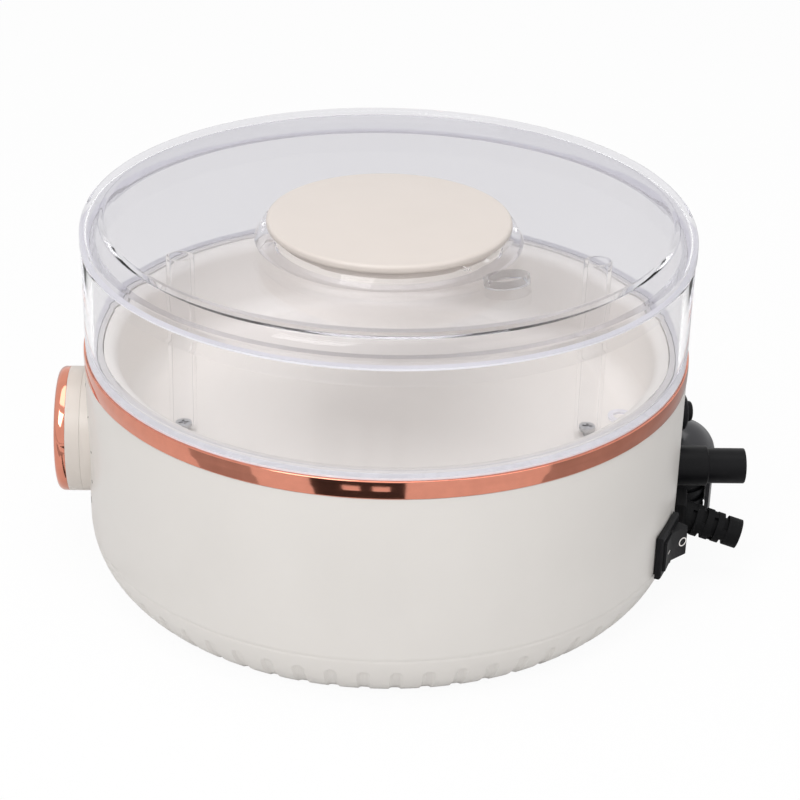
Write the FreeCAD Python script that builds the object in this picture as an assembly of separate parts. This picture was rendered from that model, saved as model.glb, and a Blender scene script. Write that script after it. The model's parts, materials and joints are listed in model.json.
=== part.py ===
import FreeCAD, Part
import math
import os

# Tabletop yogurt maker: a cream base with a plated trim ring, a clear chamber wall, a clear
# lift-off lid with a round centre cap, a control knob at the front and the services at the rear.
# Millimetres, +Z up, origin on the ground under the middle of the base, front towards -Y.

V = FreeCAD.Vector
UP = V(0, 0, 1)
OUT = V(1, 0, 0)
ORIGIN = V(0, 0, 0)

# Clearances
seat_gap = 0.3          # between pieces that are lifted apart or only rest on each other
slip_gap = 0.1          # between pieces that are pushed together and stay together
run_gap = 0.05          # radial clearance of a turning or sliding pin
thread_gap = 0.02       # radial clearance of a screw in its own thread

# Base shell
body_radius = 110.0
shell_wall = 2.6
foot_reach = 1.0        # the rubber feet stand this far below the shell
foot_tuck = 10.0        # how far the lower edge of the shell rounds in
belly_height = 20.0     # height over which it does so
drum_height = 81.4      # the trim ring sits on the drum's upper edge
band_height = 27.4      # upper part of the drum, moulded on its own and bonded on
flute_count = 52
flute_width = 3.4
flute_height = 9.0
flute_depth = 0.9
shelf_drop = 6.5        # from the ring's top down to the shelf that carries the bowl
shelf_thickness = 2.5
neck_wall = 2.9

# Trim ring
ring_height = 6.6
ring_thickness = 1.4
ring_proud = 0.3
ring_edge = 0.5

# Bottom cover, its screws and the rubber feet
cover_thickness = 2.4
cover_lap = 1.8
cover_ledge_thickness = 2.0
tie_boss_count = 4
tie_boss_inset = 11.0   # from the bowl's wall
tie_boss_radius = 5.0
tie_screw_radius = 1.5
tie_screw_length = 16.0
screw_head_radius = 3.0
screw_head_height = 1.8
foot_count = 4
foot_inset = 32.0       # from the outside of the drum
foot_pad_radius = 7.0
foot_pad_edge = 0.4
foot_plug_radius = 2.8
foot_lip_radius = 3.8
foot_lip_height = 1.4
cover_slot_count = 10
cover_slot_inset = 20.0  # from the circle of the feet
cover_slot_length = 18.0
cover_slot_width = 3.0

# Inner bowl
bowl_wall = 2.0
bowl_floor_height = 55.0
bowl_floor_thickness = 2.0
bowl_corner = 4.0
bowl_rim_width = 5.3
bowl_skirt_wall = 2.0

# Clear chamber wall
clear_wall = 2.6
clear_setback = 0.4     # the clear wall stands this far inside the drum
clear_top_height = 127.4
clear_foot_thickness = 1.2
clear_spigot_wall = 2.0
clear_spigot_depth = 6.0
seal_thickness = 0.8

# Clear posts on the bowl floor
post_angle = 79.3       # to each side of +X
post_inset = 22.6       # from the bowl's wall
post_radius = 5.0
post_bore_radius = 3.6
post_web = 2.0
post_boss_depth = 9.0
post_boss_radius = 4.0
post_screw_radius = 1.3
post_screw_length = 8.0

# Clear lid, seal, collar and vent
lid_side_height = 3.8
lid_shoulder_radius = 7.0
lid_inner_radius = 1.8
lid_wall = 2.5
lid_dish_depth = 12.0   # from the crest down to the land under the collar
lid_land = 1.6          # flat outside the collar, before the panel slopes up to the rim
lid_lip = 2.0           # from the crest's inner rounding to the panel
lid_spigot_wall = 2.4
lid_spigot_depth = 7.9
lid_flange_thickness = 2.5
collar_foot_radius = 48.4
collar_top_radius = 45.6
collar_bore_radius = 41.0
collar_height = 4.6
collar_slot_count = 3
collar_slot_width = 9.0
collar_slot_height = 2.2
vent_circle = 59.0
vent_angle = 42.0
vent_radius = 8.0
vent_wall = 1.6
vent_height = 3.0
vent_hole_radius = 2.0

# Centre cap
cap_radius = 44.0
cap_thickness = 3.2
cap_edge = 1.2
cap_crown = 0.6
cap_flat_radius = 12.0
cap_skirt_depth = 2.8
cap_skirt_wall = 2.4

# Heater under the bowl floor
plate_inset = 38.0      # from the bowl's wall
plate_thickness = 3.0
element_inner_radius = 24.0
element_inset = 4.0     # from the plate's edge
element_thickness = 1.2
insulation_thickness = 1.3
retainer_lap = 11.0     # beyond the plate's edge
retainer_thickness = 1.2
retainer_screw_count = 4
retainer_screw_lap = 6.0
retainer_boss_radius = 4.0
retainer_screw_radius = 1.3
retainer_screw_length = 5.0
lead_radius = 1.0
lead_hole_radius = 2.4
lead_spacing = 30.0
lead_offset = -32.0
sensor_radius = 7.0
sensor_height = 5.0
sensor_edge = 0.6
sensor_offset = 22.0
fuse_radius = 2.2
fuse_length = 14.0
fuse_offset = -24.0

# Power board on the bottom cover
board_length = 78.0
board_width = 84.0
board_thickness = 1.6
standoff_height = 6.0
standoff_radius = 3.5
standoff_inset = 5.0
board_screw_radius = 1.2
board_screw_length = 5.0
relay_length = 19.0
relay_width = 15.5
relay_height = 16.0
relay_x = 20.0
relay_y = 18.0
transformer_length = 30.0
transformer_width = 26.0
transformer_height = 22.0
transformer_x = -18.0
transformer_y = 16.0
capacitor_radius = 5.0
capacitor_height = 16.0
capacitor_edge = 0.8
capacitor_x = 28.0
capacitor_y = -14.0

# Control knob at the front
knob_angle = -90.0
knob_drop = 32.8        # from the drum's upper edge down to the knob's axis
knob_radius = 23.2
knob_depth = 10.0       # from the plinth's face to the front of the trim
knob_trim_length = 4.2
knob_trim_wall = 3.2
knob_trim_round = 2.0
knob_wall = 2.4
knob_face_thickness = 2.6
knob_hub_radius = 6.0
knob_gap = 0.6
pointer_width = 2.4
pointer_height = 0.8
plinth_proud = 1.0
plinth_depth = 4.0
shaft_radius = 3.0
bushing_radius = 4.5
bushing_nut_flats = 13.0
bushing_nut_height = 2.0
encoder_width = 13.0
encoder_depth = 3.7
control_board_width = 24.0
control_board_height = 44.0
control_board_thickness = 1.2
control_board_rise = 9.3  # from the knob's axis up to the board's upper edge

# Rocker switch
switch_angle = 66.5
switch_height = 26.0
switch_bezel_length = 21.0
switch_bezel_height = 17.0
switch_bezel_thickness = 2.4
switch_body_length = 19.0
switch_body_height = 14.6
switch_body_depth = 16.0
rocker_radius = 8.6
rocker_height = 11.6
rocker_pivot_depth = 0.8
rocker_middle = 1.4
rocker_flare = 15.0
rocker_tilt = 12.0
rocker_belly = 3.0
trunnion_radius = 1.4
trunnion_length = 0.9
terminal_width = 4.8
terminal_thickness = 0.8
terminal_length = 8.0
terminal_pitch = 6.5
terminal_count = 3

# Cord strain relief
relief_angle = 81.0
relief_height = 23.0
relief_droop = 15.5
relief_bore_radius = 3.6
relief_entry_radius = 4.6
relief_entry_depth = 1.5
relief_neck_radius = 5.6
relief_block_width = 14.0
relief_block_height = 17.0
relief_block_depth = 4.0
relief_root_radius = 6.2
relief_tip_radius = 5.4
relief_groove = 1.3
relief_rib_count = 5
relief_length = 21.0
relief_flange_radius = 8.2
relief_flange_thickness = 2.6

# Drain spout and elbow
spout_angle = 90.0
spout_height = 35.0
spout_radius = 6.7
spout_bore_radius = 4.6
spout_length = 26.5
spout_root_radius = 7.6
spout_root_length = 12.0
spout_neck_radius = 6.0
spout_nut_flats = 18.0
spout_nut_height = 3.6
spout_tail_radius = 4.6
spout_tail_bore = 3.2
spout_tail_length = 12.0
drain_inset = 9.5       # from the bowl's wall
drain_bore_radius = 3.0
elbow_radius = 4.6
elbow_socket_wall = 1.8
grommet_radius = 5.0
grommet_flange = 1.0

# Rear hood with its nozzle
hood_angle = 101.0
hood_radius = 13.4
hood_centre_proud = 8.0  # the hood's axis stands this far outside the drum
hood_top = 42.0
hood_open_height = 24.0  # below this the hood is only a shield behind the nozzle
shield_bottom = 6.0
shield_wall = 1.6
shield_half_angle = 41.0
hood_screw_radius = 1.3
hood_screw_length = 6.5
hood_screw_spacing = 8.0
nozzle_radius = 9.6
nozzle_bore_radius = 6.0
nozzle_bottom = 5.0
nozzle_web = 2.0
nozzle_ring_radius = 10.8
nozzle_ring_height = 2.0
nozzle_ring_step = 4.5
nozzle_ring_count = 3

# Reset button
reset_angle = 94.0
reset_height = 54.0
reset_flange_radius = 7.2
reset_flange_thickness = 4.1
reset_thread_radius = 5.0
reset_button_radius = 3.9
reset_button_proud = 2.2
reset_travel = 1.6
reset_nut_flats = 14.0
reset_nut_height = 2.2
reset_switch_size = 10.0
reset_switch_depth = 2.8

# Heights and radii that follow from the sizes above
shell_bottom = foot_reach
foot_radius = body_radius - foot_tuck
foot_circle = body_radius - foot_inset
cover_slot_circle = foot_circle - cover_slot_inset
belly_top = shell_bottom + belly_height
belly_arc = (belly_height ** 2 + foot_tuck ** 2) / (2 * foot_tuck)
belly_centre = body_radius - belly_arc
ring_top = drum_height + ring_height
ring_inner_radius = body_radius + ring_proud - ring_thickness
neck_radius = ring_inner_radius - slip_gap
neck_inner_radius = neck_radius - neck_wall
clear_radius = body_radius - clear_setback
clear_inner_radius = clear_radius - clear_wall
clear_spigot_outer = neck_inner_radius - seat_gap
clear_spigot_inner = clear_spigot_outer - clear_spigot_wall
bowl_rim_radius = clear_spigot_inner - seat_gap
bowl_radius = bowl_rim_radius - bowl_rim_width
tie_boss_circle = bowl_radius - tie_boss_inset
post_circle = bowl_radius - post_inset
drain_circle = bowl_radius - drain_inset
plate_radius = bowl_radius - plate_inset
element_outer_radius = plate_radius - element_inset
retainer_radius = plate_radius + retainer_lap
retainer_screw_circle = plate_radius + retainer_screw_lap
knob_height = drum_height - knob_drop
control_board_top = knob_height + control_board_rise
plinth_reach = body_radius + plinth_proud
plinth_back = body_radius - plinth_depth
knob_face_reach = plinth_reach + knob_depth
spout_end_reach = body_radius + spout_length
hood_centre_reach = body_radius + hood_centre_proud
shell_inner_radius = body_radius - shell_wall
shelf_top = ring_top - shelf_drop
shelf_inner_radius = bowl_radius + bowl_wall + 2 * seat_gap
clear_bottom = ring_top + seal_thickness
lid_bottom = clear_top_height + seal_thickness
lid_radius = body_radius
lid_side_top = lid_bottom + lid_side_height
lid_crest = lid_side_top + lid_shoulder_radius
lid_crest_radius = lid_radius - lid_shoulder_radius
lid_step_radius = lid_crest_radius - lid_inner_radius
lid_panel_radius = lid_step_radius - lid_lip
lid_land_radius = collar_foot_radius + lid_land
panel_edge_top = lid_crest - lid_inner_radius
panel_edge_bottom = panel_edge_top - lid_wall
panel_top = lid_crest - lid_dish_depth
panel_bottom = panel_top - lid_wall
lid_spigot_outer = clear_inner_radius - seat_gap - slip_gap
lid_spigot_inner = lid_spigot_outer - lid_spigot_wall
collar_top = panel_top + collar_height
bowl_underside = bowl_floor_height - bowl_floor_thickness
plate_bottom = bowl_underside - plate_thickness
element_bottom = plate_bottom - element_thickness
insulation_bottom = element_bottom - insulation_thickness
retainer_bottom = insulation_bottom - retainer_thickness


def inner_belly_radius(z):
    """Radius of the shell's inner face at a height within its rounded lower edge."""
    return belly_centre + math.sqrt((belly_arc - shell_wall) ** 2 - (belly_top - z) ** 2)


def inner_wall_radius(z):
    """Radius of the shell's inner face at any height below the shelf."""
    return shell_inner_radius if z >= belly_top else inner_belly_radius(z)


def flat_seat_reach(z, radius):
    """How far out a flat washer or nut of this radius can lie against the inner face."""
    return math.sqrt(inner_wall_radius(z - radius) ** 2 - radius ** 2) - slip_gap


cover_radius = inner_belly_radius(shell_bottom) - seat_gap
cover_ledge_radius = cover_radius - cover_lap
cover_bottom = shell_bottom + 2 * seat_gap
cover_top = cover_bottom + cover_thickness
ledge_top = cover_top + cover_ledge_thickness
board_bottom = cover_top + standoff_height
board_top = board_bottom + board_thickness


def spin(start, *steps):
    """Turn a closed outline about Z. A step is a point, or a middle and an end point of an arc."""
    edges = []
    here = V(start[0], 0, start[1])
    first = here
    for step in steps:
        if isinstance(step[0], tuple):
            middle = V(step[0][0], 0, step[0][1])
            there = V(step[1][0], 0, step[1][1])
            edges.append(Part.Arc(here, middle, there).toShape())
        else:
            there = V(step[0], 0, step[1])
            edges.append(Part.makeLine(here, there))
        here = there
    edges.append(Part.makeLine(here, first))
    return Part.Face(Part.Wire(edges)).revolve(ORIGIN, UP, 360)


def on_arc(centre, radius, degrees):
    """Point of an arc in the outline plane."""
    angle = math.radians(degrees)
    return (centre[0] + radius * math.cos(angle), centre[1] + radius * math.sin(angle))


def rod(radius, start, end):
    """Solid cylinder between two points."""
    along = end - start
    return Part.makeCylinder(radius, along.Length, start, along)


def pipe(radius, bore, start, end):
    """Hollow cylinder between two points."""
    return rod(radius, start, end).cut(rod(bore, start, end))


def block(low, high):
    """Box between two corners."""
    size = high - low
    return Part.makeBox(size.x, size.y, size.z, low)


def hexagon(flats, start, end):
    """Six-sided prism between two points."""
    radius = flats / math.sqrt(3)
    corners = [V(0, radius * math.cos(math.radians(60 * k)), radius * math.sin(math.radians(60 * k)))
               for k in range(7)]
    prism = Part.Face(Part.makePolygon(corners)).extrude(OUT * (end - start).Length)
    prism.Placement = FreeCAD.Placement(start, FreeCAD.Rotation(OUT, end - start))
    return prism


def around(shape, degrees):
    """Copy of a shape turned about the vertical axis."""
    turned = shape.copy()
    turned.rotate(ORIGIN, UP, degrees)
    return turned


def ring_of(shape, count, first=0.0):
    """Copies of a shape spread evenly about the vertical axis."""
    return [around(shape, first + 360.0 * k / count) for k in range(count)]


def both_posts(shape):
    """Copies of a shape at the two places of the clear posts."""
    return [around(shape, side * post_angle) for side in (-1, 1)]


def screw(shank, length, seat, direction, slotted=False):
    """Pan-head screw whose head sits on a seat and whose shank runs along a direction."""
    body = rod(shank, seat, seat + direction * length)
    head = rod(screw_head_radius, seat - direction * screw_head_height, seat)
    head = head.makeFillet(screw_head_height * 0.4, [head.Edges[0]])
    body = body.fuse(head)
    if slotted:
        half = screw_head_radius * 0.62
        slot_half = screw_head_radius * 0.16
        depth = screw_head_height * 0.6
        top = seat.z - direction.z * screw_head_height
        for x_half, y_half in ((half, slot_half), (slot_half, half)):
            low = V(seat.x - x_half, seat.y - y_half, top - depth)
            high = V(seat.x + x_half, seat.y + y_half, top + depth)
            body = body.cut(block(low, high))
    return body.removeSplitter()


belly_sweep = math.degrees(math.asin(belly_height / belly_arc))


def envelope(gap):
    """Solid that fills the base's outer form, grown by a gap."""
    middle = on_arc((belly_centre, belly_top), belly_arc + gap, -0.5 * belly_sweep)
    low = on_arc((belly_centre, belly_top), belly_arc + gap, -belly_sweep)
    return spin((0, low[1]), low, (middle, (body_radius + gap, belly_top)),
                (body_radius + gap, drum_height), (0, drum_height))


def whole_drum():
    """The base's drum in one: its wall, its rounded lower edge, the knob's plinth and all holes."""
    inner_arc = belly_arc - shell_wall
    centre = (belly_centre, belly_top)
    ledge_angle = math.degrees(math.asin((belly_top - ledge_top) / inner_arc))
    cover_angle = math.degrees(math.asin((belly_top - cover_top) / inner_arc))
    mouth_angle = math.degrees(math.asin((belly_top - shell_bottom) / inner_arc))
    shell = spin(
        (foot_radius, shell_bottom),
        (on_arc(centre, belly_arc, -0.5 * belly_sweep), (body_radius, belly_top)),
        (body_radius, drum_height),
        (shell_inner_radius, drum_height),
        (shell_inner_radius, belly_top),
        (on_arc(centre, inner_arc, -0.5 * ledge_angle), on_arc(centre, inner_arc, -ledge_angle)),
        (cover_ledge_radius, ledge_top),
        (cover_ledge_radius, cover_top),
        on_arc(centre, inner_arc, -cover_angle),
        (on_arc(centre, inner_arc, -0.5 * (cover_angle + mouth_angle)),
         on_arc(centre, inner_arc, -mouth_angle)))
    return shell.fuse(plinth()).cut(flutes()).cut(Part.makeCompound(wall_holes())).removeSplitter()


def plinth():
    """Round face on the drum that the knob turns on."""
    disc = rod(knob_radius, V(plinth_back, 0, knob_height), V(plinth_reach, 0, knob_height))
    return around(disc, knob_angle)


def band_zone():
    """Space of the drum's upper band, without the plinth, which belongs to the lower part."""
    return rod(body_radius + shell_wall, UP * (drum_height - band_height), UP * drum_height).cut(plinth())


def base_shell():
    return whole_drum().cut(band_zone())


def drum_band():
    return whole_drum().common(band_zone())


def flutes():
    """Round-topped grooves of even depth around the rounded lower edge."""
    skin = envelope(flute_depth).cut(envelope(-flute_depth))
    half = flute_width / 2
    top = shell_bottom + flute_height - half
    upright = block(V(foot_radius - shell_wall, -half, 0), V(body_radius, half, top))
    arch = rod(half, V(foot_radius - shell_wall, 0, top), V(body_radius, 0, top))
    groove = upright.fuse(arch).common(skin)
    return Part.makeCompound(ring_of(groove, flute_count, 180.0 / flute_count))


def wall_holes():
    """Openings in the base wall for everything that passes through it."""
    inside = plinth_back - shell_wall
    outside = body_radius + shell_wall
    holes = [around(rod(bushing_radius + slip_gap, V(inside, 0, knob_height),
                        V(plinth_reach + 1, 0, knob_height)), knob_angle)]
    half_length = switch_body_length / 2 + slip_gap
    half_height = switch_body_height / 2 + slip_gap
    holes.append(around(block(V(shell_inner_radius - 3, -half_length, switch_height - half_height),
                              V(outside, half_length, switch_height + half_height)), switch_angle))
    for radius, height, angle in ((relief_neck_radius, relief_height, relief_angle),
                                  (spout_neck_radius, spout_height, spout_angle),
                                  (reset_thread_radius, reset_height, reset_angle)):
        hole = rod(radius + slip_gap, V(inside, 0, height), V(outside, 0, height))
        holes.append(around(hole, angle))
    for height in hood_screw_heights():
        hole = rod(hood_screw_radius + slip_gap, V(inside, 0, height), V(outside, 0, height))
        holes.append(around(hole, hood_angle))
    return holes


def neck_ring():
    shelf_bottom = shelf_top - shelf_thickness
    shelf_outer = shell_inner_radius - slip_gap
    return spin((shelf_outer, shelf_bottom), (shelf_outer, drum_height), (neck_radius, drum_height),
                (neck_radius, ring_top), (neck_inner_radius, ring_top), (neck_inner_radius, shelf_top),
                (shelf_inner_radius, shelf_top), (shelf_inner_radius, shelf_bottom))


def trim_ring():
    outer = body_radius + ring_proud
    half = math.sqrt(0.5) * ring_edge
    low = drum_height + ring_edge
    high = ring_top - ring_edge
    inset = outer - ring_edge
    return spin((ring_inner_radius, drum_height), (inset, drum_height),
                ((inset + half, low - half), (outer, low)), (outer, high),
                ((inset + half, high + half), (inset, ring_top)), (ring_inner_radius, ring_top))


def bottom_cover():
    cover = rod(cover_radius, V(0, 0, cover_bottom), V(0, 0, cover_top))
    for place in standoff_places():
        cover = cover.fuse(rod(standoff_radius, place + UP * cover_top, place + UP * board_bottom))
    holes = []
    for place in standoff_places():
        holes.append(rod(board_screw_radius + thread_gap, place + UP * cover_bottom,
                         place + UP * board_bottom))
    tie = V(tie_boss_circle, 0, 0)
    tie_hole = rod(tie_screw_radius + slip_gap, tie, tie + UP * cover_top)
    sunk_head = rod(screw_head_radius + seat_gap, tie, tie + UP * tie_head_seat())
    holes += ring_of(tie_hole.fuse(sunk_head), tie_boss_count, 45)
    plug_hole = rod(foot_plug_radius + slip_gap, ORIGIN, UP * cover_top)
    holes.append(plug_hole)
    holes += ring_of(plug_hole.translated(V(foot_circle, 0, 0)), foot_count)
    half = cover_slot_length / 2
    slot = block(V(cover_slot_circle - half, -cover_slot_width / 2, 0),
                 V(cover_slot_circle + half, cover_slot_width / 2, cover_top))
    holes += ring_of(slot, cover_slot_count, 180.0 / cover_slot_count)
    return cover.cut(Part.makeCompound(holes)).removeSplitter()


def tie_head_seat():
    """Height of the seat that the tie screws' heads pull against."""
    return cover_bottom + cover_thickness / 2


def cover_screws():
    seat = V(tie_boss_circle, 0, tie_head_seat())
    return Part.makeCompound(ring_of(screw(tie_screw_radius, tie_screw_length, seat, UP),
                                     tie_boss_count, 45))


def rubber_feet():
    pad = rod(foot_pad_radius, ORIGIN, UP * cover_bottom)
    pad = pad.makeFillet(foot_pad_edge, [pad.Edges[2]])
    plug = rod(foot_plug_radius, UP * cover_bottom, UP * cover_top)
    lip = rod(foot_lip_radius, UP * cover_top, UP * (cover_top + foot_lip_height))
    middle = pad.fuse(plug).fuse(lip).removeSplitter()
    outer = middle.translated(V(foot_circle, 0, 0))
    return Part.makeCompound([middle] + ring_of(outer, foot_count))


def inner_bowl():
    outer = bowl_radius + bowl_wall
    skirt = bowl_rim_radius - bowl_skirt_wall
    rim_bottom = ring_top - bowl_wall
    low_corner = (bowl_radius - bowl_corner, bowl_floor_height + bowl_corner)
    bowl = spin((0, bowl_underside), (low_corner[0], bowl_underside),
                (on_arc(low_corner, bowl_corner + bowl_wall, -45), (outer, low_corner[1])),
                (outer, rim_bottom), (skirt, rim_bottom), (skirt, shelf_top),
                (bowl_rim_radius, shelf_top), (bowl_rim_radius, ring_top),
                (bowl_radius, ring_top), (bowl_radius, low_corner[1]),
                (on_arc(low_corner, bowl_corner, -45), (low_corner[0], bowl_floor_height)),
                (0, bowl_floor_height))
    tie = V(tie_boss_circle, 0, 0)
    ties = ring_of(rod(tie_boss_radius, tie + UP * cover_top, tie + UP * bowl_underside),
                   tie_boss_count, 45)
    post = V(post_circle, 0, 0)
    bosses = both_posts(rod(post_boss_radius, post + UP * (bowl_underside - post_boss_depth),
                            post + UP * bowl_underside))
    hold = V(retainer_screw_circle, 0, 0)
    bosses += ring_of(rod(retainer_boss_radius, hold + UP * insulation_bottom,
                          hold + UP * bowl_underside), retainer_screw_count, 45)
    bowl = bowl.fuse(ties + bosses)
    pilots = ring_of(rod(tie_screw_radius + thread_gap, tie + UP * cover_top,
                         tie + UP * (cover_top + tie_screw_length)), tie_boss_count, 45)
    pilots += both_posts(rod(post_screw_radius + thread_gap,
                             post + UP * (bowl_floor_height - post_screw_length),
                             post + UP * bowl_floor_height))
    pilots += ring_of(rod(retainer_screw_radius + thread_gap, hold + UP * insulation_bottom,
                          hold + UP * (insulation_bottom + retainer_screw_length)),
                      retainer_screw_count, 45)
    drain = V(drain_circle, 0, 0)
    pilots.append(around(rod(elbow_radius + slip_gap, drain + UP * bowl_underside,
                             drain + UP * bowl_floor_height), spout_angle))
    return bowl.cut(Part.makeCompound(pilots)).removeSplitter()


def wall_seal():
    return pipe(clear_radius - seat_gap, neck_inner_radius, V(0, 0, ring_top), V(0, 0, clear_bottom))


def chamber_wall():
    foot_top = clear_bottom + clear_foot_thickness
    spigot_bottom = clear_bottom - clear_spigot_depth
    return spin((clear_spigot_inner, spigot_bottom), (clear_spigot_outer, spigot_bottom),
                (clear_spigot_outer, clear_bottom), (clear_radius, clear_bottom),
                (clear_radius, clear_top_height), (clear_inner_radius, clear_top_height),
                (clear_inner_radius, foot_top), (clear_spigot_inner, foot_top))


def clear_posts():
    foot = V(post_circle, 0, bowl_floor_height)
    head = V(post_circle, 0, panel_bottom - seat_gap)
    web = foot + UP * post_web
    post = rod(post_radius, foot, head).cut(rod(post_bore_radius, web, head))
    post = post.cut(rod(post_screw_radius + slip_gap, foot, web))
    return Part.makeCompound(both_posts(post))


def post_screws():
    seat = V(post_circle, 0, bowl_floor_height + post_web)
    return Part.makeCompound(both_posts(screw(post_screw_radius, post_screw_length, seat, -UP, True)))


def heater_plate():
    return rod(plate_radius, V(0, 0, plate_bottom), V(0, 0, bowl_underside))


def heater_element():
    return pipe(element_outer_radius, element_inner_radius, V(0, 0, element_bottom),
                V(0, 0, plate_bottom))


def lead_places():
    """Where the two heater leads stand."""
    return [V(side * lead_spacing / 2, lead_offset, 0) for side in (-1, 1)]


def heater_insulation():
    disc = rod(plate_radius, V(0, 0, insulation_bottom), V(0, 0, element_bottom))
    for place in lead_places():
        disc = disc.cut(rod(lead_hole_radius, place + UP * insulation_bottom,
                            place + UP * element_bottom))
    return disc


def heater_retainer():
    disc = rod(retainer_radius, V(0, 0, retainer_bottom), V(0, 0, insulation_bottom))
    hold = V(retainer_screw_circle, 0, 0)
    holes = ring_of(rod(retainer_screw_radius + slip_gap, hold + UP * retainer_bottom,
                        hold + UP * insulation_bottom), retainer_screw_count, 45)
    for place in lead_places():
        holes.append(rod(lead_hole_radius, place + UP * retainer_bottom, place + UP * insulation_bottom))
    return disc.cut(Part.makeCompound(holes))


def retainer_screws():
    seat = V(retainer_screw_circle, 0, retainer_bottom)
    return Part.makeCompound(ring_of(screw(retainer_screw_radius, retainer_screw_length, seat, UP),
                                     retainer_screw_count, 45))


def heater_leads():
    return Part.makeCompound([rod(lead_radius, place + UP * board_top, place + UP * element_bottom)
                              for place in lead_places()])


def temperature_sensor():
    place = V(sensor_offset, 0, 0)
    body = rod(sensor_radius, place + UP * (retainer_bottom - sensor_height), place + UP * retainer_bottom)
    return body.makeFillet(sensor_edge, [body.Edges[2]])


def thermal_fuse():
    middle = V(fuse_offset, 0, retainer_bottom - fuse_radius)
    half = V(0, fuse_length / 2, 0)
    clip_low = V(fuse_offset - fuse_radius * 0.6, -fuse_length / 4, retainer_bottom - fuse_radius)
    clip_high = V(fuse_offset + fuse_radius * 0.6, fuse_length / 4, retainer_bottom)
    return rod(fuse_radius, middle - half, middle + half).fuse(block(clip_low, clip_high))


def standoff_places():
    """Corners of the power board where it is screwed down."""
    x = board_length / 2 - standoff_inset
    y = board_width / 2 - standoff_inset
    return [V(a * x, b * y, 0) for a in (-1, 1) for b in (-1, 1)]


def power_board():
    board = block(V(-board_length / 2, -board_width / 2, board_bottom),
                  V(board_length / 2, board_width / 2, board_top))
    for place in standoff_places():
        board = board.cut(rod(board_screw_radius + slip_gap, place + UP * board_bottom,
                              place + UP * board_top))
    return board


def board_screws():
    return Part.makeCompound([screw(board_screw_radius, board_screw_length, place + UP * board_top, -UP)
                              for place in standoff_places()])


def on_board(x, y, length, width, height):
    """Box standing on the power board."""
    low = V(x - length / 2, y - width / 2, board_top)
    return block(low, low + V(length, width, height))


def power_relay():
    return on_board(relay_x, relay_y, relay_length, relay_width, relay_height)


def power_transformer():
    core = on_board(transformer_x, transformer_y, transformer_length, transformer_width, transformer_height)
    winding = on_board(transformer_x, transformer_y, transformer_length * 0.7, transformer_width * 1.2,
                       transformer_height * 0.7)
    return core.fuse(winding).removeSplitter()


def power_capacitor():
    foot = V(capacitor_x, capacitor_y, board_top)
    can = rod(capacitor_radius, foot, foot + UP * capacitor_height)
    return can.makeFillet(capacitor_edge, [can.Edges[0]])


def knob_point(reach, across=0.0, up=0.0):
    """Point in the knob's own frame, before it is turned to the front."""
    return V(reach, across, knob_height + up)


def about_knob(start, *steps):
    """Turn an outline given as radius and reach about the knob's axis."""
    shape = spin(start, *steps)
    shape.Placement = FreeCAD.Placement(knob_point(0), FreeCAD.Rotation(UP, OUT))
    return around(shape, knob_angle)


knob_back = plinth_reach + knob_gap
knob_trim_back = knob_face_reach - knob_trim_length
knob_face_radius = knob_radius - knob_trim_wall
knob_face_top = knob_face_reach - knob_trim_round
knob_face_bottom = knob_trim_back - knob_face_thickness
nut_front = plinth_reach + bushing_nut_height
hub_back = nut_front + seat_gap + 2 * slip_gap
shaft_end = knob_trim_back - slip_gap


def control_knob():
    knob = about_knob(
        (knob_radius, knob_back), (knob_radius, knob_trim_back), (knob_face_radius, knob_trim_back),
        (knob_face_radius, knob_face_top), (0, knob_face_top), (0, shaft_end),
        (shaft_radius + run_gap, shaft_end), (shaft_radius + run_gap, hub_back),
        (knob_hub_radius, hub_back), (knob_hub_radius, knob_face_bottom),
        (knob_radius - knob_wall, knob_face_bottom), (knob_radius - knob_wall, knob_back))
    pointer = block(knob_point(knob_face_top - pointer_height, -pointer_width / 2, knob_face_radius * 0.35),
                    knob_point(knob_face_top + pointer_height, pointer_width / 2, knob_face_radius * 0.9))
    return knob.fuse(around(pointer, knob_angle)).removeSplitter()


def knob_trim():
    inset = knob_trim_round
    half = inset * math.sqrt(0.5)
    inner = knob_face_radius + slip_gap
    front = knob_face_reach - inset
    return about_knob((inner, knob_trim_back), (knob_radius, knob_trim_back), (knob_radius, front),
                      ((knob_radius - inset + half, front + half), (knob_radius - inset, knob_face_reach)),
                      (inner, knob_face_reach))


def knob_shaft():
    start = plinth_back - encoder_depth + slip_gap
    return about_knob((0, start), (shaft_radius, start), (shaft_radius, shaft_end), (0, shaft_end))


def knob_encoder():
    half = encoder_width / 2
    low = knob_point(plinth_back - encoder_depth, -half, -half)
    body = block(low, knob_point(plinth_back, half, half))
    body = body.fuse(rod(bushing_radius, knob_point(plinth_back), knob_point(nut_front)))
    body = body.cut(rod(shaft_radius + run_gap, knob_point(plinth_back - encoder_depth),
                        knob_point(nut_front)))
    return around(body.removeSplitter(), knob_angle)


def encoder_nut():
    nut = hexagon(bushing_nut_flats, knob_point(plinth_reach), knob_point(nut_front))
    hole = rod(bushing_radius + thread_gap, knob_point(plinth_reach), knob_point(nut_front))
    return around(nut.cut(hole), knob_angle)


def control_board():
    front = plinth_back - encoder_depth
    half = control_board_width / 2
    board = block(V(front - control_board_thickness, -half, control_board_top - control_board_height),
                  V(front, half, control_board_top))
    return around(board, knob_angle)


switch_face = body_radius + slip_gap
rocker_pivot = switch_face + switch_bezel_thickness - rocker_pivot_depth
rocker_floor = rocker_pivot - rocker_belly - seat_gap
trunnion_reach = rocker_height / 2 + trunnion_length


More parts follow.
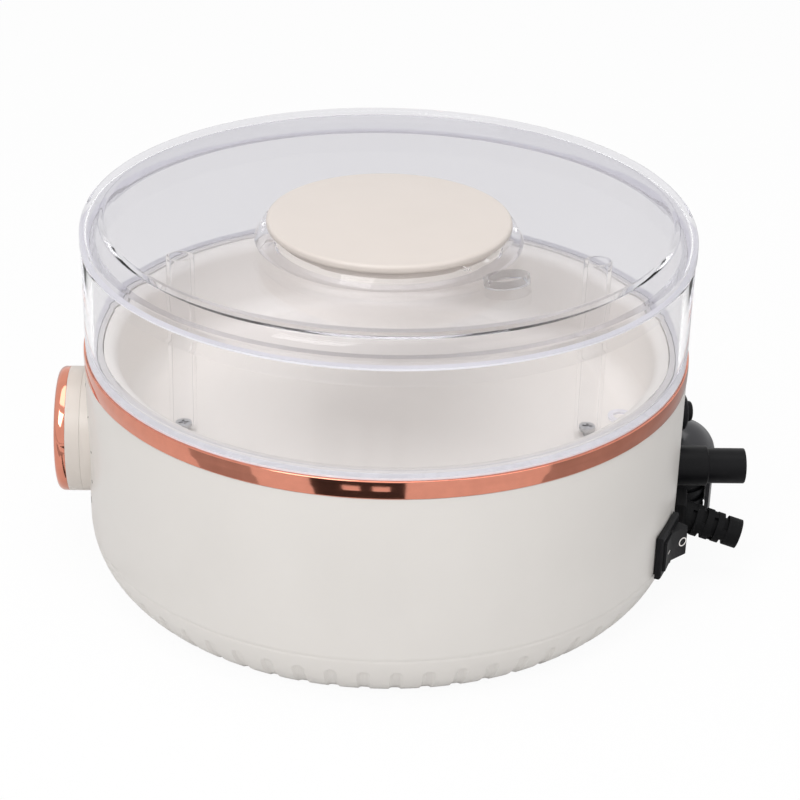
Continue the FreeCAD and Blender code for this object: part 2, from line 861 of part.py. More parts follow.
def switch_frame():
    half_length = switch_bezel_length / 2
    half_height = switch_bezel_height / 2
    front = switch_face + switch_bezel_thickness
    bezel = block(V(switch_face, -half_length, switch_height - half_height),
                  V(front, half_length, switch_height + half_height))
    rounded = [edge for edge in bezel.Edges if min(v.X for v in edge.Vertexes) > front - slip_gap]
    bezel = bezel.makeFillet(switch_bezel_thickness * 0.4, rounded)
    body = block(V(switch_face - switch_body_depth, -switch_body_length / 2,
                   switch_height - switch_body_height / 2),
                 V(switch_face, switch_body_length / 2, switch_height + switch_body_height / 2))
    well_length = rocker_radius + seat_gap
    well_height = rocker_height / 2 + slip_gap
    well = block(V(rocker_floor - rocker_radius / 2, -well_length, switch_height - well_height),
                 V(front + 1, well_length, switch_height + well_height))
    bearing = rod(trunnion_radius + run_gap, V(rocker_pivot, 0, switch_height - trunnion_reach - slip_gap),
                  V(rocker_pivot, 0, switch_height + trunnion_reach + slip_gap))
    return around(bezel.fuse(body).cut(well).cut(bearing).removeSplitter(), switch_angle)


def switch_rocker():
    low = switch_height - rocker_height / 2
    high = switch_height + rocker_height / 2
    drum = rod(rocker_radius, V(rocker_pivot, 0, low), V(rocker_pivot, 0, high))
    lift = math.tan(math.radians(rocker_flare)) * rocker_radius
    middle = rocker_pivot + rocker_middle
    far = rocker_pivot + 2 * rocker_radius
    corners = [(middle, 0), (middle + lift, rocker_radius), (far, rocker_radius),
               (far, -rocker_radius), (middle + lift, -rocker_radius), (middle, 0)]
    notch = Part.Face(Part.makePolygon([V(x, y, low) for x, y in corners])).extrude(UP * rocker_height)
    under = block(V(rocker_pivot - 2 * rocker_radius, -2 * rocker_radius, low),
                  V(rocker_pivot - rocker_belly, 2 * rocker_radius, high))
    rocker = drum.cut(notch).cut(under)
    pins = rod(trunnion_radius, V(rocker_pivot, 0, switch_height - trunnion_reach),
               V(rocker_pivot, 0, switch_height + trunnion_reach))
    rocker = rocker.fuse(pins).removeSplitter()
    rocker.rotate(V(rocker_pivot, 0, 0), UP, -rocker_tilt)
    return around(rocker, switch_angle)


def switch_terminals():
    back = switch_face - switch_body_depth
    blades = []
    for k in range(terminal_count):
        across = (k - (terminal_count - 1) / 2) * terminal_pitch
        blades.append(block(V(back - terminal_length, across - terminal_thickness / 2,
                              switch_height - terminal_width / 2),
                            V(back, across + terminal_thickness / 2, switch_height + terminal_width / 2)))
    return Part.makeCompound([around(blade, switch_angle) for blade in blades])


relief_face = body_radius + slip_gap
relief_root_reach = relief_face + relief_block_depth
relief_inner_reach = flat_seat_reach(relief_height, relief_flange_radius)


def strain_relief():
    start = V(relief_inner_reach - relief_flange_thickness, 0, relief_height)
    root = V(relief_root_reach, 0, relief_height)
    half_width = relief_block_width / 2
    half_height = relief_block_height / 2
    plate = block(V(relief_face, -half_width, relief_height - half_height),
                  V(relief_root_reach, half_width, relief_height + half_height))
    plate = plate.makeFillet(relief_block_depth * 0.3, [e for e in plate.Edges
                                                        if min(v.X for v in e.Vertexes) > relief_face])
    body = plate.fuse(rod(relief_neck_radius, start, root))
    sleeve = ribbed_sleeve()
    sleeve.Placement = FreeCAD.Placement(root, FreeCAD.Rotation(UP, relief_direction()))
    body = body.fuse(sleeve).cut(rod(relief_entry_radius, start, root))
    along = relief_direction()
    body = body.cut(rod(relief_entry_radius, root - along * relief_block_depth,
                        root + along * relief_entry_depth))
    body = body.cut(rod(relief_bore_radius, root, root + along * relief_length))
    return around(body.removeSplitter(), relief_angle)


def relief_direction():
    droop = math.radians(relief_droop)
    return V(math.cos(droop), 0, -math.sin(droop))


def ribbed_sleeve():
    """Tapering sleeve with square ribs, standing on its root."""
    pitch = relief_length / relief_rib_count
    taper = (relief_root_radius - relief_tip_radius) / relief_rib_count
    sunk = -relief_block_depth / 2
    steps = [(relief_root_radius, sunk)]
    for k in range(relief_rib_count):
        rib = relief_root_radius - taper * k
        groove_start = pitch * (k + 0.35)
        groove_end = pitch * (k + 0.75)
        if k == relief_rib_count - 1:
            steps.append((rib, relief_length))
        else:
            steps += [(rib, groove_start), (rib - relief_groove, groove_start),
                      (rib - taper - relief_groove, groove_end), (rib - taper, groove_end)]
    return spin((0, sunk), *steps, (0, relief_length))


def relief_clamp():
    start = V(relief_inner_reach - relief_flange_thickness, 0, relief_height)
    end = V(relief_inner_reach, 0, relief_height)
    return around(pipe(relief_flange_radius, relief_neck_radius + thread_gap, start, end), relief_angle)


spout_face = body_radius + slip_gap
spout_nut_reach = flat_seat_reach(spout_height, spout_nut_flats / math.sqrt(3))
spout_nut_back = spout_nut_reach - spout_nut_height
spout_tail_end = spout_nut_back - spout_tail_length


def spout_point(reach):
    return V(reach, 0, spout_height)


def drain_spout():
    root = rod(spout_root_radius, spout_point(spout_face), spout_point(spout_face + spout_root_length))
    tube = rod(spout_radius, spout_point(spout_face + spout_root_length), spout_point(spout_end_reach))
    neck = rod(spout_neck_radius, spout_point(spout_nut_back), spout_point(spout_face))
    tail = rod(spout_tail_radius, spout_point(spout_tail_end), spout_point(spout_nut_back))
    spout = root.fuse([tube, neck, tail])
    spout = spout.cut(rod(spout_tail_bore, spout_point(spout_tail_end), spout_point(spout_face)))
    spout = spout.cut(rod(spout_bore_radius, spout_point(spout_face), spout_point(spout_end_reach)))
    return around(spout.removeSplitter(), spout_angle)


def spout_nut():
    nut = hexagon(spout_nut_flats, spout_point(spout_nut_back), spout_point(spout_nut_reach))
    hole = rod(spout_neck_radius + thread_gap, spout_point(spout_nut_back), spout_point(spout_nut_reach))
    return around(nut.cut(hole), spout_angle)


def drain_elbow():
    socket = spout_tail_radius + slip_gap
    outer = socket + elbow_socket_wall
    mouth = spout_nut_back - seat_gap
    top = V(drain_circle, 0, bowl_floor_height - grommet_flange)
    corner = spout_point(drain_circle)
    elbow = rod(elbow_radius, corner, top).fuse(rod(outer, corner - OUT * outer, spout_point(mouth)))
    elbow = elbow.cut(rod(drain_bore_radius, corner, top))
    elbow = elbow.cut(rod(spout_tail_bore, corner - OUT * spout_tail_bore, spout_point(spout_tail_end)))
    elbow = elbow.cut(rod(socket, spout_point(spout_tail_end), spout_point(mouth)))
    return around(elbow.removeSplitter(), spout_angle)


def drain_grommet():
    low = V(drain_circle, 0, bowl_floor_height)
    top = low + UP * grommet_flange
    ring = pipe(grommet_radius, drain_bore_radius, low, top)
    sleeve = pipe(elbow_radius, drain_bore_radius, low - UP * grommet_flange, low)
    return around(ring.fuse(sleeve).removeSplitter(), spout_angle)


def hood_screw_heights():
    """Heights of the two screws that hold the hood from inside the shell."""
    middle = (hood_open_height + hood_top) / 2
    return (middle - hood_screw_spacing / 2, middle + hood_screw_spacing / 2)


def rear_hood():
    foot = V(hood_centre_reach, 0, hood_open_height)
    dome_centre = V(hood_centre_reach, 0, hood_top - hood_radius)
    hood = rod(hood_radius, foot, dome_centre).fuse(Part.makeSphere(hood_radius, dome_centre))
    below = block(foot - V(hood_radius, hood_radius, hood_radius), foot + V(hood_radius, hood_radius, 0))
    hood = hood.cut(below)
    low = V(hood_centre_reach, 0, shield_bottom)
    shield = Part.makeCylinder(hood_radius, hood_open_height - shield_bottom, low, UP, 2 * shield_half_angle)
    shield = shield.cut(rod(hood_radius - shield_wall, low, foot))
    shield.rotate(low, UP, -shield_half_angle)
    hood = hood.fuse(shield).removeSplitter().cut(envelope(slip_gap))
    for height in hood_screw_heights():
        hood = hood.cut(rod(hood_screw_radius + thread_gap, V(body_radius - shell_wall, 0, height),
                            V(body_radius + hood_screw_length, 0, height)))
    return around(hood, hood_angle)


def hood_screws():
    screws = []
    for height in hood_screw_heights():
        seat_reach = flat_seat_reach(height, screw_head_radius)
        length = hood_screw_length + body_radius - seat_reach - seat_gap
        screws.append(around(screw(hood_screw_radius, length, V(seat_reach, 0, height), OUT), hood_angle))
    return Part.makeCompound(screws)


def hood_nozzle():
    low = V(hood_centre_reach, 0, nozzle_bottom)
    top = V(hood_centre_reach, 0, hood_open_height)
    nozzle = rod(nozzle_radius, low, top)
    for k in range(nozzle_ring_count):
        ring = low + UP * (nozzle_ring_step * k)
        nozzle = nozzle.fuse(rod(nozzle_ring_radius, ring, ring + UP * nozzle_ring_height))
    nozzle = nozzle.cut(rod(nozzle_bore_radius, low, top - UP * nozzle_web))
    nozzle = nozzle.cut(envelope(slip_gap))
    return around(nozzle.removeSplitter(), hood_angle)


reset_face = body_radius + slip_gap
reset_front = reset_face + reset_flange_thickness
reset_nut_reach = flat_seat_reach(reset_height, reset_nut_flats / math.sqrt(3))
reset_nut_back = reset_nut_reach - reset_nut_height
reset_button_back = reset_nut_back + reset_travel


def reset_point(reach):
    return V(reach, 0, reset_height)


def reset_bezel():
    flange = rod(reset_flange_radius, reset_point(reset_face), reset_point(reset_front))
    flange = flange.makeFillet(reset_flange_thickness * 0.5, [flange.Edges[0]])
    thread = rod(reset_thread_radius, reset_point(reset_nut_back), reset_point(reset_face))
    hole = rod(reset_button_radius + run_gap, reset_point(reset_nut_back), reset_point(reset_front))
    return around(flange.fuse(thread).cut(hole).removeSplitter(), reset_angle)


def reset_nut():
    nut = hexagon(reset_nut_flats, reset_point(reset_nut_back), reset_point(reset_nut_reach))
    hole = rod(reset_thread_radius + thread_gap, reset_point(reset_nut_back), reset_point(reset_nut_reach))
    return around(nut.cut(hole), reset_angle)


def reset_button():
    end = reset_front + reset_button_proud
    button = rod(reset_button_radius, reset_point(reset_button_back), reset_point(end))
    button = button.makeFillet(reset_button_radius * 0.3, [button.Edges[0]])
    return around(button, reset_angle)


def reset_switch():
    half = reset_switch_size / 2
    low = V(reset_nut_back - reset_switch_depth, -half, reset_height - half)
    return around(block(low, V(reset_nut_back, half, reset_height + half)), reset_angle)


def clear_lid():
    outer_centre = (lid_crest_radius, lid_side_top)
    inner_centre = (lid_crest_radius, panel_edge_top)
    skin = lid_shoulder_radius - lid_wall
    flange_top = lid_bottom + lid_flange_thickness
    spigot_bottom = lid_bottom - lid_spigot_depth
    return spin(
        (lid_spigot_outer, spigot_bottom), (lid_spigot_outer, lid_bottom), (lid_radius, lid_bottom),
        (lid_radius, lid_side_top),
        (on_arc(outer_centre, lid_shoulder_radius, 45), (lid_crest_radius, lid_crest)),
        (on_arc(inner_centre, lid_inner_radius, 135), (lid_step_radius, panel_edge_top)),
        (lid_panel_radius, panel_edge_top), (lid_panel_radius, panel_edge_bottom),
        (lid_step_radius, panel_edge_bottom), (lid_crest_radius, lid_crest - lid_wall),
        (on_arc(outer_centre, skin, 45), (lid_radius - lid_wall, lid_side_top)),
        (lid_radius - lid_wall, flange_top), (lid_spigot_inner, flange_top),
        (lid_spigot_inner, spigot_bottom))


def lid_panel():
    """Panel with a flat land under the collar and a slope up to the rim."""
    funnel = spin((collar_bore_radius, panel_bottom), (lid_land_radius, panel_bottom),
                  (lid_panel_radius, panel_edge_bottom), (lid_panel_radius, panel_edge_top),
                  (lid_land_radius, panel_top), (collar_bore_radius, panel_top))
    below = spin((0, ring_top), (lid_panel_radius, ring_top), (lid_panel_radius, panel_edge_bottom),
                 (lid_land_radius, panel_bottom), (0, panel_bottom))
    slope = (panel_edge_top - panel_top) / (lid_panel_radius - lid_land_radius)
    vent_top = panel_top + slope * (vent_circle - lid_land_radius) + vent_height
    foot = V(vent_circle, 0, panel_bottom)
    head = V(vent_circle, 0, vent_top)
    boss = around(pipe(vent_radius, vent_radius - vent_wall, foot, head), vent_angle).cut(below)
    hole = around(rod(vent_hole_radius, foot, head), vent_angle)
    return funnel.fuse(boss).cut(hole).removeSplitter()


def lid_seal():
    return pipe(clear_radius - seat_gap, lid_spigot_outer + slip_gap, V(0, 0, clear_top_height),
                V(0, 0, lid_bottom))


def cap_collar():
    collar = spin((collar_bore_radius, panel_top), (collar_foot_radius, panel_top),
                  (collar_top_radius, collar_top), (collar_bore_radius, collar_top))
    half = collar_slot_width / 2
    slot = block(V(collar_bore_radius - 1, -half, collar_top - collar_slot_height),
                 V(collar_foot_radius + 1, half, collar_top))
    return collar.cut(Part.makeCompound(ring_of(slot, collar_slot_count, vent_angle)))


def centre_cap():
    edge = cap_radius - cap_edge
    top = collar_top + cap_thickness
    crown = top + cap_crown
    span = edge - cap_flat_radius
    dome = (span ** 2 + cap_crown ** 2) / (2 * cap_crown)
    dome_centre = (cap_flat_radius, crown - dome)
    dome_sweep = math.degrees(math.asin(span / dome))
    high = (edge, top - cap_edge)
    low = (edge, collar_top + cap_edge)
    skirt_outer = collar_bore_radius - seat_gap
    skirt_inner = skirt_outer - cap_skirt_wall
    skirt_bottom = collar_top - cap_skirt_depth
    return spin((0, collar_top), (skirt_inner, collar_top), (skirt_inner, skirt_bottom),
                (skirt_outer, skirt_bottom), (skirt_outer, collar_top), (edge, collar_top),
                (on_arc(low, cap_edge, -45), (cap_radius, low[1])), (cap_radius, high[1]),
                (on_arc(high, cap_edge, 45), (edge, top)),
                (on_arc(dome_centre, dome, 90 - dome_sweep / 2), (cap_flat_radius, crown)),
                (0, crown))


PIECES = (
    base_shell, drum_band, neck_ring, trim_ring, bottom_cover, cover_screws, rubber_feet, inner_bowl,
    wall_seal, chamber_wall, clear_posts, post_screws, heater_plate, heater_element, heater_insulation,
    heater_retainer, retainer_screws, heater_leads, temperature_sensor, thermal_fuse, power_board,
    board_screws, power_relay, power_transformer, power_capacitor, control_knob, knob_trim, knob_shaft,
    knob_encoder, encoder_nut, control_board, switch_frame, switch_rocker, switch_terminals,
    strain_relief, relief_clamp, drain_spout, spout_nut, drain_elbow, drain_grommet, rear_hood,
    hood_screws, hood_nozzle, reset_bezel, reset_nut, reset_button, reset_switch, clear_lid, lid_panel,
    lid_seal, cap_collar, centre_cap)

os.makedirs("parts", exist_ok=True)
for piece in PIECES:
    shape = piece()
    name = piece.__name__
    shape.exportStep("parts/" + name + ".step")
    print(name, "solids", len(shape.Solids), "valid", shape.isValid(), "volume", round(shape.Volume, 1))
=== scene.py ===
# %% [markdown]
# A tabletop yogurt maker, dressed for a studio picture.
# The solids of the part arrive as a fixed frame: every piece already has its place and its size.
# This lesson adds the finishes, and turns fresh smooth meshes where a rounded or clear piece needs
# more than the frame's flat facets can show.

# %% Load the frame
import json
import math
import bpy
from mathutils import Matrix, Vector
from mathutils.bvhtree import BVHTree


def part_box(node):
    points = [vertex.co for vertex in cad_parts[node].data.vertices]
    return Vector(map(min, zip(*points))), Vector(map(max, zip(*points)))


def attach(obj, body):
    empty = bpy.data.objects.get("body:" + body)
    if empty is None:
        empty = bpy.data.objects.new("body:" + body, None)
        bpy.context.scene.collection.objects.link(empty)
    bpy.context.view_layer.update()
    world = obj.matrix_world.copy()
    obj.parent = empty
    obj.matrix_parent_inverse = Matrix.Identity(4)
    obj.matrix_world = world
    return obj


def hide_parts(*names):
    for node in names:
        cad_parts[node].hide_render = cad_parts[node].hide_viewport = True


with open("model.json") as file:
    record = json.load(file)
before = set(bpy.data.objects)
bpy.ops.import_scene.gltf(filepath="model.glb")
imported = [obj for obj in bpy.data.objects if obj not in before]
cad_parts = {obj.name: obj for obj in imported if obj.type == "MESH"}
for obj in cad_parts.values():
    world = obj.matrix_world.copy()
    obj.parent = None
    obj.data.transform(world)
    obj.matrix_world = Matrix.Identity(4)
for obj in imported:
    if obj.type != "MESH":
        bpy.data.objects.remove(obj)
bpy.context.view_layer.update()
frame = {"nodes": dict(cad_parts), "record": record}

nodes = frame["nodes"]

# %% [markdown]
# Photographs like this one are taken with a long lens from a little above the worktop.
# The camera could be placed by eye, but here its angles were measured from the round rims of the
# object, which look like ellipses: their height over their width gives the pitch.
# The trim ring's upper edge is the point that everything is measured from.

# %% Camera
MM = 0.001
FRONT_VIEW_AZIMUTH = math.radians(88.0)
PITCH = math.radians(26.99)
ROLL = math.radians(1.47)
RING_RADIUS = 110.0 * MM
FOCUS_DISTANCE = 7.331 * RING_RADIUS
FOCUS_LEFT = -0.0437 * RING_RADIUS
FOCUS_ABOVE = 0.2144 * RING_RADIUS
SENSOR = 36.0
LENS = 2.75 * SENSOR


def studio_camera():
    """Camera that sees the ring's centre a little left of and above the middle of the picture."""
    ring_top = Vector((0, 0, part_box("trim_ring")[1][2]))
    towards = Vector((math.sin(FRONT_VIEW_AZIMUTH), -math.cos(FRONT_VIEW_AZIMUTH), 0))
    forward = -towards * math.cos(PITCH) - Vector((0, 0, 1)) * math.sin(PITCH)
    level = Vector((0, 0, 1)).cross(towards)
    upright = level.cross(forward)
    right = level * math.cos(ROLL) + upright * math.sin(ROLL)
    up = upright * math.cos(ROLL) - level * math.sin(ROLL)
    eye = ring_top - right * FOCUS_LEFT - up * FOCUS_ABOVE - forward * FOCUS_DISTANCE
    data = bpy.data.cameras.new("studio_camera")
    data.sensor_width = SENSOR
    data.lens = LENS
    camera = bpy.data.objects.new("studio_camera", data)
    bpy.context.scene.collection.objects.link(camera)
    turn = Matrix((right, up, -forward)).transposed().to_4x4()
    camera.matrix_world = Matrix.Translation(eye) @ turn
    bpy.context.scene.camera = camera
    return camera


camera = studio_camera()
print("camera stands at", [round(v, 3) for v in camera.matrix_world.translation])

# %% [markdown]
# Shader graphs get long when every sum is a node placed by hand.
# A small class around a socket lets the graph be written as ordinary arithmetic: adding, taking away
# and multiplying values each leave a Math node behind, and one method adds any other node.


# %% A socket that can be calculated with
class Wire:
    """A shader socket that takes part in Python expressions."""

    def __init__(self, tree, socket=None):
        self.tree = tree
        self.socket = socket

    def make(self, kind, settings=None, output=0, **inputs):
        """Adds a node. Settings come first, then its sockets, whose names use _ for a space."""
        node = self.tree.nodes.new("ShaderNode" + kind)
        for key, value in (settings or {}).items():
            if key == "stops":
                ramp = node.color_ramp.elements
                while len(ramp) < len(value):
                    ramp.new(0.5)
                for stop, (place, colour) in zip(ramp, value):
                    stop.position = place
                    stop.color = colour
            else:
                setattr(node, key, value)
        for key, value in inputs.items():
            slot = node.inputs[int(key[1:])] if key[1:].isdigit() else node.inputs[key.replace("_", " ")]
            if isinstance(value, Wire):
                self.tree.links.new(value.socket, slot)
            else:
                slot.default_value = value
        return Wire(self.tree, node.outputs[output])

    def maths(self, operation, first, second):
        return self.make("Math", {"operation": operation}, i0=first, i1=second)

    def __add__(self, other):
        return self.maths("ADD", self, other)

    def __radd__(self, other):
        return self.maths("ADD", other, self)

    def __sub__(self, other):
        return self.maths("SUBTRACT", self, other)

    def __rsub__(self, other):
        return self.maths("SUBTRACT", other, self)

    def __mul__(self, other):
        return self.maths("MULTIPLY", self, other)

    def __rmul__(self, other):
        return self.maths("MULTIPLY", other, self)


print("a socket can be added, taken away and multiplied")

# %% [markdown]
# Every finish starts as a material without nodes and ends at its output. Blender gives a new material
# a shader of its own, which is cleared away, so that the graph holds only what a recipe puts there.


# %% Start and end of a material
def new_material(name):
    """An empty node material and a Wire to start its graph from."""
    material = bpy.data.materials.new(name)
    material.use_nodes = True
    material.node_tree.nodes.clear()
    return material, Wire(material.node_tree)


def surface(material, shader):
    """Sends a finished shader to the material's output."""
    output = material.node_tree.nodes.new("ShaderNodeOutputMaterial")
    material.node_tree.links.new(shader.socket, output.inputs["Surface"])
    return material


print("materials can be started and ended")

# %% [markdown]
# Moulded plastic is never one flat colour. The tool's surface leaves a very fine orange peel,
# the pigment drifts a little, and handling changes the gloss in soft patches.
# One recipe covers all opaque plastics and rubbers: three noises at different scales, all measured
# in metres on the object so that the grain has its true size.

# %% Opaque plastics and rubbers
OBJECT_PLACE = 3  # the coordinate node's output for places on the object
PIGMENT_SCALE = 38.0
PATCH_SCALE = 95.0
GLOSS_SPREAD = 0.12
PEEL_SHARE = 0.12
PEEL_GAIN = 10
RAMP_ENDS = (0.3, 0.7)


def two_tone(graph, pattern, dark, light, ends=RAMP_ENDS):
    """Colour that goes from one tone to another as a pattern rises."""
    stops = [(ends[0], dark + (1.0,)), (ends[1], light + (1.0,))]
    return graph.make("ValToRGB", {"stops": stops}, Fac=pattern)


def moulded(name, colour, roughness, grain=0.0006, depth=0.02, drift=0.03, coat=0.0, specular=0.5):
    """Moulded plastic or rubber: pigment drift, patchy gloss and a fine grain."""
    material, graph = new_material(name)
    where = graph.make("TexCoord", output=OBJECT_PLACE)
    pigment = graph.make("TexNoise", Vector=where, Scale=PIGMENT_SCALE, Detail=3.0, Roughness=0.55)
    patches = graph.make("TexNoise", Vector=where, Scale=PATCH_SCALE, Detail=2.0, Roughness=0.5)
    peel = graph.make("TexNoise", Vector=where, Scale=1.0 / grain, Detail=2.0, Roughness=0.6)
    darker = tuple(c * (1 - drift) for c in colour)
    lighter = tuple(min(1.0, c * (1 + drift)) for c in colour)
    tint = two_tone(graph, pigment, darker, lighter)
    gloss = patches * GLOSS_SPREAD + (roughness - GLOSS_SPREAD / 2)
    bump = graph.make("Bump", Height=peel, Strength=depth * PEEL_GAIN, Distance=grain * PEEL_SHARE)
    shader = graph.make("BsdfPrincipled", Base_Color=tint, Roughness=gloss, Normal=bump,
                        Coat_Weight=coat, Coat_Roughness=0.12, Specular_IOR_Level=specular)
    return surface(material, shader)


def black(name, colour, roughness, grain, specular):
    """Dull black moulding with a coarse drift in its very dark pigment."""
    return moulded(name, colour, roughness, grain, depth=0.05, drift=0.15, specular=specular)


FINISHES = {
    "cream_plastic": moulded("cream_plastic", (0.675, 0.647, 0.617), 0.36, drift=0.008, coat=0.12),
    "knob_plastic": moulded("knob_plastic", (0.66, 0.605, 0.555), 0.38, drift=0.01, coat=0.1),
    "cap_plastic": moulded("cap_plastic", (0.67, 0.605, 0.56), 0.4, drift=0.01, coat=0.08),
    "white_plastic": moulded("white_plastic", (0.88, 0.846, 0.818), 0.4, drift=0.008),
    "clear_frosted": moulded("clear_frosted", (0.80, 0.775, 0.775), 0.5, drift=0.01),
    "clear_silicone": moulded("clear_silicone", (0.80, 0.79, 0.84), 0.42),
    "black_rubber": black("black_rubber", (0.004, 0.004, 0.0045), 0.55, 0.0004, 0.1),
    "black_plastic": black("black_plastic", (0.006, 0.006, 0.007), 0.42, 0.0003, 0.12),
    "dark_grey_plastic": moulded("dark_grey_plastic", (0.04, 0.04, 0.045), 0.3, coat=0.3, specular=0.3),
    "grey_plastic": moulded("grey_plastic", (0.5, 0.49, 0.47), 0.5),
    "mica": moulded("mica", (0.55, 0.47, 0.3), 0.55, drift=0.2),
    "circuit_board": moulded("circuit_board", (0.02, 0.16, 0.06), 0.35, drift=0.15),
    "ceramic": moulded("ceramic", (0.8, 0.78, 0.73), 0.25, drift=0.05),
}
print("moulded finishes:", len(FINISHES))

# %% [markdown]
# The copper-pink trim is plated plastic: a mirror with a colour. Its roughness is very low, so what
# shows is mostly the studio around it. A little waviness in the plating keeps the mirror from
# looking like a computer's perfect one.

# %% Plating
STREAK_SCALE = 240.0
WAVE_SCALE = 60.0
STREAK_ENDS = (0.35, 0.65)
STREAK_GLOSS = 0.06
STREAK_TONE = 0.93


def plated(name, colour, roughness=0.08, wave=0.00002):
    """Polished plating with faint waviness and wiped streaks."""
    material, graph = new_material(name)
    where = graph.make("TexCoord", output=OBJECT_PLACE)
    streaks = graph.make("TexNoise", Vector=where, Scale=STREAK_SCALE, Detail=3.0, Roughness=0.6)
    waves = graph.make("TexNoise", Vector=where, Scale=WAVE_SCALE, Detail=1.0, Roughness=0.4)
    deeper = tuple(c * STREAK_TONE for c in colour)
    tint = two_tone(graph, streaks, deeper, colour, STREAK_ENDS)
    gloss = streaks * STREAK_GLOSS + (roughness - STREAK_GLOSS / 2)
    bump = graph.make("Bump", Height=waves, Strength=0.4, Distance=wave)
    shader = graph.make("BsdfPrincipled", Base_Color=tint, Roughness=gloss, Metallic=1.0, Normal=bump)
    return surface(material, shader)


PLATINGS = {
    "rose_gold": plated("rose_gold", (0.70, 0.275, 0.19)),
    "heater_foil": plated("heater_foil", (0.6, 0.36, 0.14), 0.3),
}
FINISHES.update(PLATINGS)
print("platings:", len(PLATINGS))

# %% [markdown]
# Screws, plates and terminals are rolled or zinc-plated metal. A plain metallic shader would look cast,
# so one noise is stretched a long way in one direction: its thin lines are the marks of rolling, and
# they change the colour, the gloss and the relief together.

# %% Worked metals
SCRATCH_STRETCH = (60.0, 900.0, 900.0)
SCRATCH_GLOSS = 0.2
SCRATCH_TONE = 0.8


def worked_metal(name, colour, roughness=0.35):
    """Rolled or zinc-plated metal with directional scratches."""
    material, graph = new_material(name)
    where = graph.make("TexCoord", output=OBJECT_PLACE)
    stretched = graph.make("Mapping", Vector=where, Scale=SCRATCH_STRETCH)
    scratches = graph.make("TexNoise", Vector=stretched, Scale=3.0, Detail=4.0, Roughness=0.6)
    dull = tuple(c * SCRATCH_TONE for c in colour)
    tint = two_tone(graph, scratches, dull, colour)
    gloss = scratches * SCRATCH_GLOSS + (roughness - SCRATCH_GLOSS / 2)
    bump = graph.make("Bump", Height=scratches, Strength=0.15, Distance=0.00005)
    shader = graph.make("BsdfPrincipled", Base_Color=tint, Roughness=gloss, Metallic=1.0, Normal=bump)
    return surface(material, shader)


METALS = {
    "steel": worked_metal("steel", (0.62, 0.62, 0.63)),
    "aluminium": worked_metal("aluminium", (0.82, 0.82, 0.83), 0.3),
    "brass": worked_metal("brass", (0.8, 0.58, 0.26)),
}
FINISHES.update(METALS)
print("worked metals:", len(METALS))

# %% [markdown]
# The lid and the chamber wall are clear polystyrene. The walls are modelled with their real
# thickness, so refraction at the rims and shoulders comes from the shape itself.
# Lamps would throw dark shadows through such a shader, so rays on their way to a lamp, and light that
# has bounced off a matt surface, pass straight through instead. Each surface that is crossed takes its
# share of the light, so doubled walls get a fainter tint, and the lid and its vent a stronger one.

# %% Clear plastic
IS_SHADOW, IS_DIFFUSE = 1, 2  # the light path node's outputs for these rays
HAZE_SCALE = 70.0
HAZE_GLOSS = 0.03


def clear_plastic(name, tint, passing, bend=1.03, coat=0.3):
    """Clear moulded plastic with faint handling haze, which lets a share of lamp light through."""
    material, graph = new_material(name)
    where = graph.make("TexCoord", output=OBJECT_PLACE)
    haze = graph.make("TexNoise", Vector=where, Scale=HAZE_SCALE, Detail=4.0, Roughness=0.6)
    gloss = haze * HAZE_GLOSS
    shader = graph.make("BsdfPrincipled", Base_Color=tint + (1.0,), Roughness=gloss, IOR=bend,
                        Transmission_Weight=1.0, Coat_Weight=coat, Coat_Roughness=0.03, Coat_IOR=1.5)
    see_through = graph.make("BsdfTransparent", Color=(passing,) * 3 + (1.0,))
    shadow = graph.make("LightPath", output=IS_SHADOW)
    diffuse = graph.make("LightPath", output=IS_DIFFUSE)
    lamp_path = graph.maths("MAXIMUM", shadow, diffuse)
    mixed = graph.make("MixShader", i0=lamp_path, i1=shader, i2=see_through)
    return surface(material, mixed)


CLEARS = {
    "clear_plastic": clear_plastic("clear_plastic", (0.89, 0.885, 0.895), 0.985),
    "clear_lid": clear_plastic("clear_lid", (0.82, 0.815, 0.838), 0.985),
    "clear_smoke": clear_plastic("clear_smoke", (0.76, 0.76, 0.77), 0.95),
    "clear_faint": clear_plastic("clear_faint", (0.985, 0.985, 0.987), 0.99, 1.012, 0.12),
}
FINISHES.update(CLEARS)
print("clear finishes:", len(CLEARS))

# %% [markdown]
# Every solid of the frame names the material slot that it belongs to, inside and out.
# Giving each one its finish here, in one loop, means that a piece which is only seen when the lid is
# lifted, or never, is as complete as the ones in front.

# %% Finishes on the frame's solids
for entry in frame["record"]["subparts"]:
    node = nodes[entry["node"]]
    node.data.materials.clear()
    node.data.materials.append(FINISHES[entry["material_slot"]])

# %% [markdown]
# Almost everything here was turned or moulded round, so most pieces are a section spun about an axis.
# Blender's Screw modifier could do it, but a small function gives full control of the points:
# each corner of a section may carry a rounding, because a real edge always catches a line of light.

# %% Rounded sections
NEARLY_STRAIGHT = math.radians(89.5)
ARC_STEPS = 8


def rounded(corners, steps=ARC_STEPS):
    """Section through (radius, height, rounding) corners in millimetres, each rounded by an arc."""
    points = []
    count = len(corners)
    for k, (r, z, rounding) in enumerate(corners):
        here = Vector((r, z))
        back = (Vector(corners[k - 1][:2]) - here).normalized()
        on = (Vector(corners[(k + 1) % count][:2]) - here).normalized()
        half = back.angle(on) / 2
        if rounding == 0 or half > NEARLY_STRAIGHT:
            points.append(here * MM)
            continue
        centre = here + (back + on).normalized() * (rounding / math.sin(half))
        start = here + back * (rounding / math.tan(half)) - centre
        swing = start.angle_signed(here + on * (rounding / math.tan(half)) - centre)
        for step in range(steps + 1):
            angle = -swing * step / steps
            points.append((centre + Matrix.Rotation(angle, 2) @ start) * MM)
    return points


print("a rounded corner has", ARC_STEPS + 1, "points")

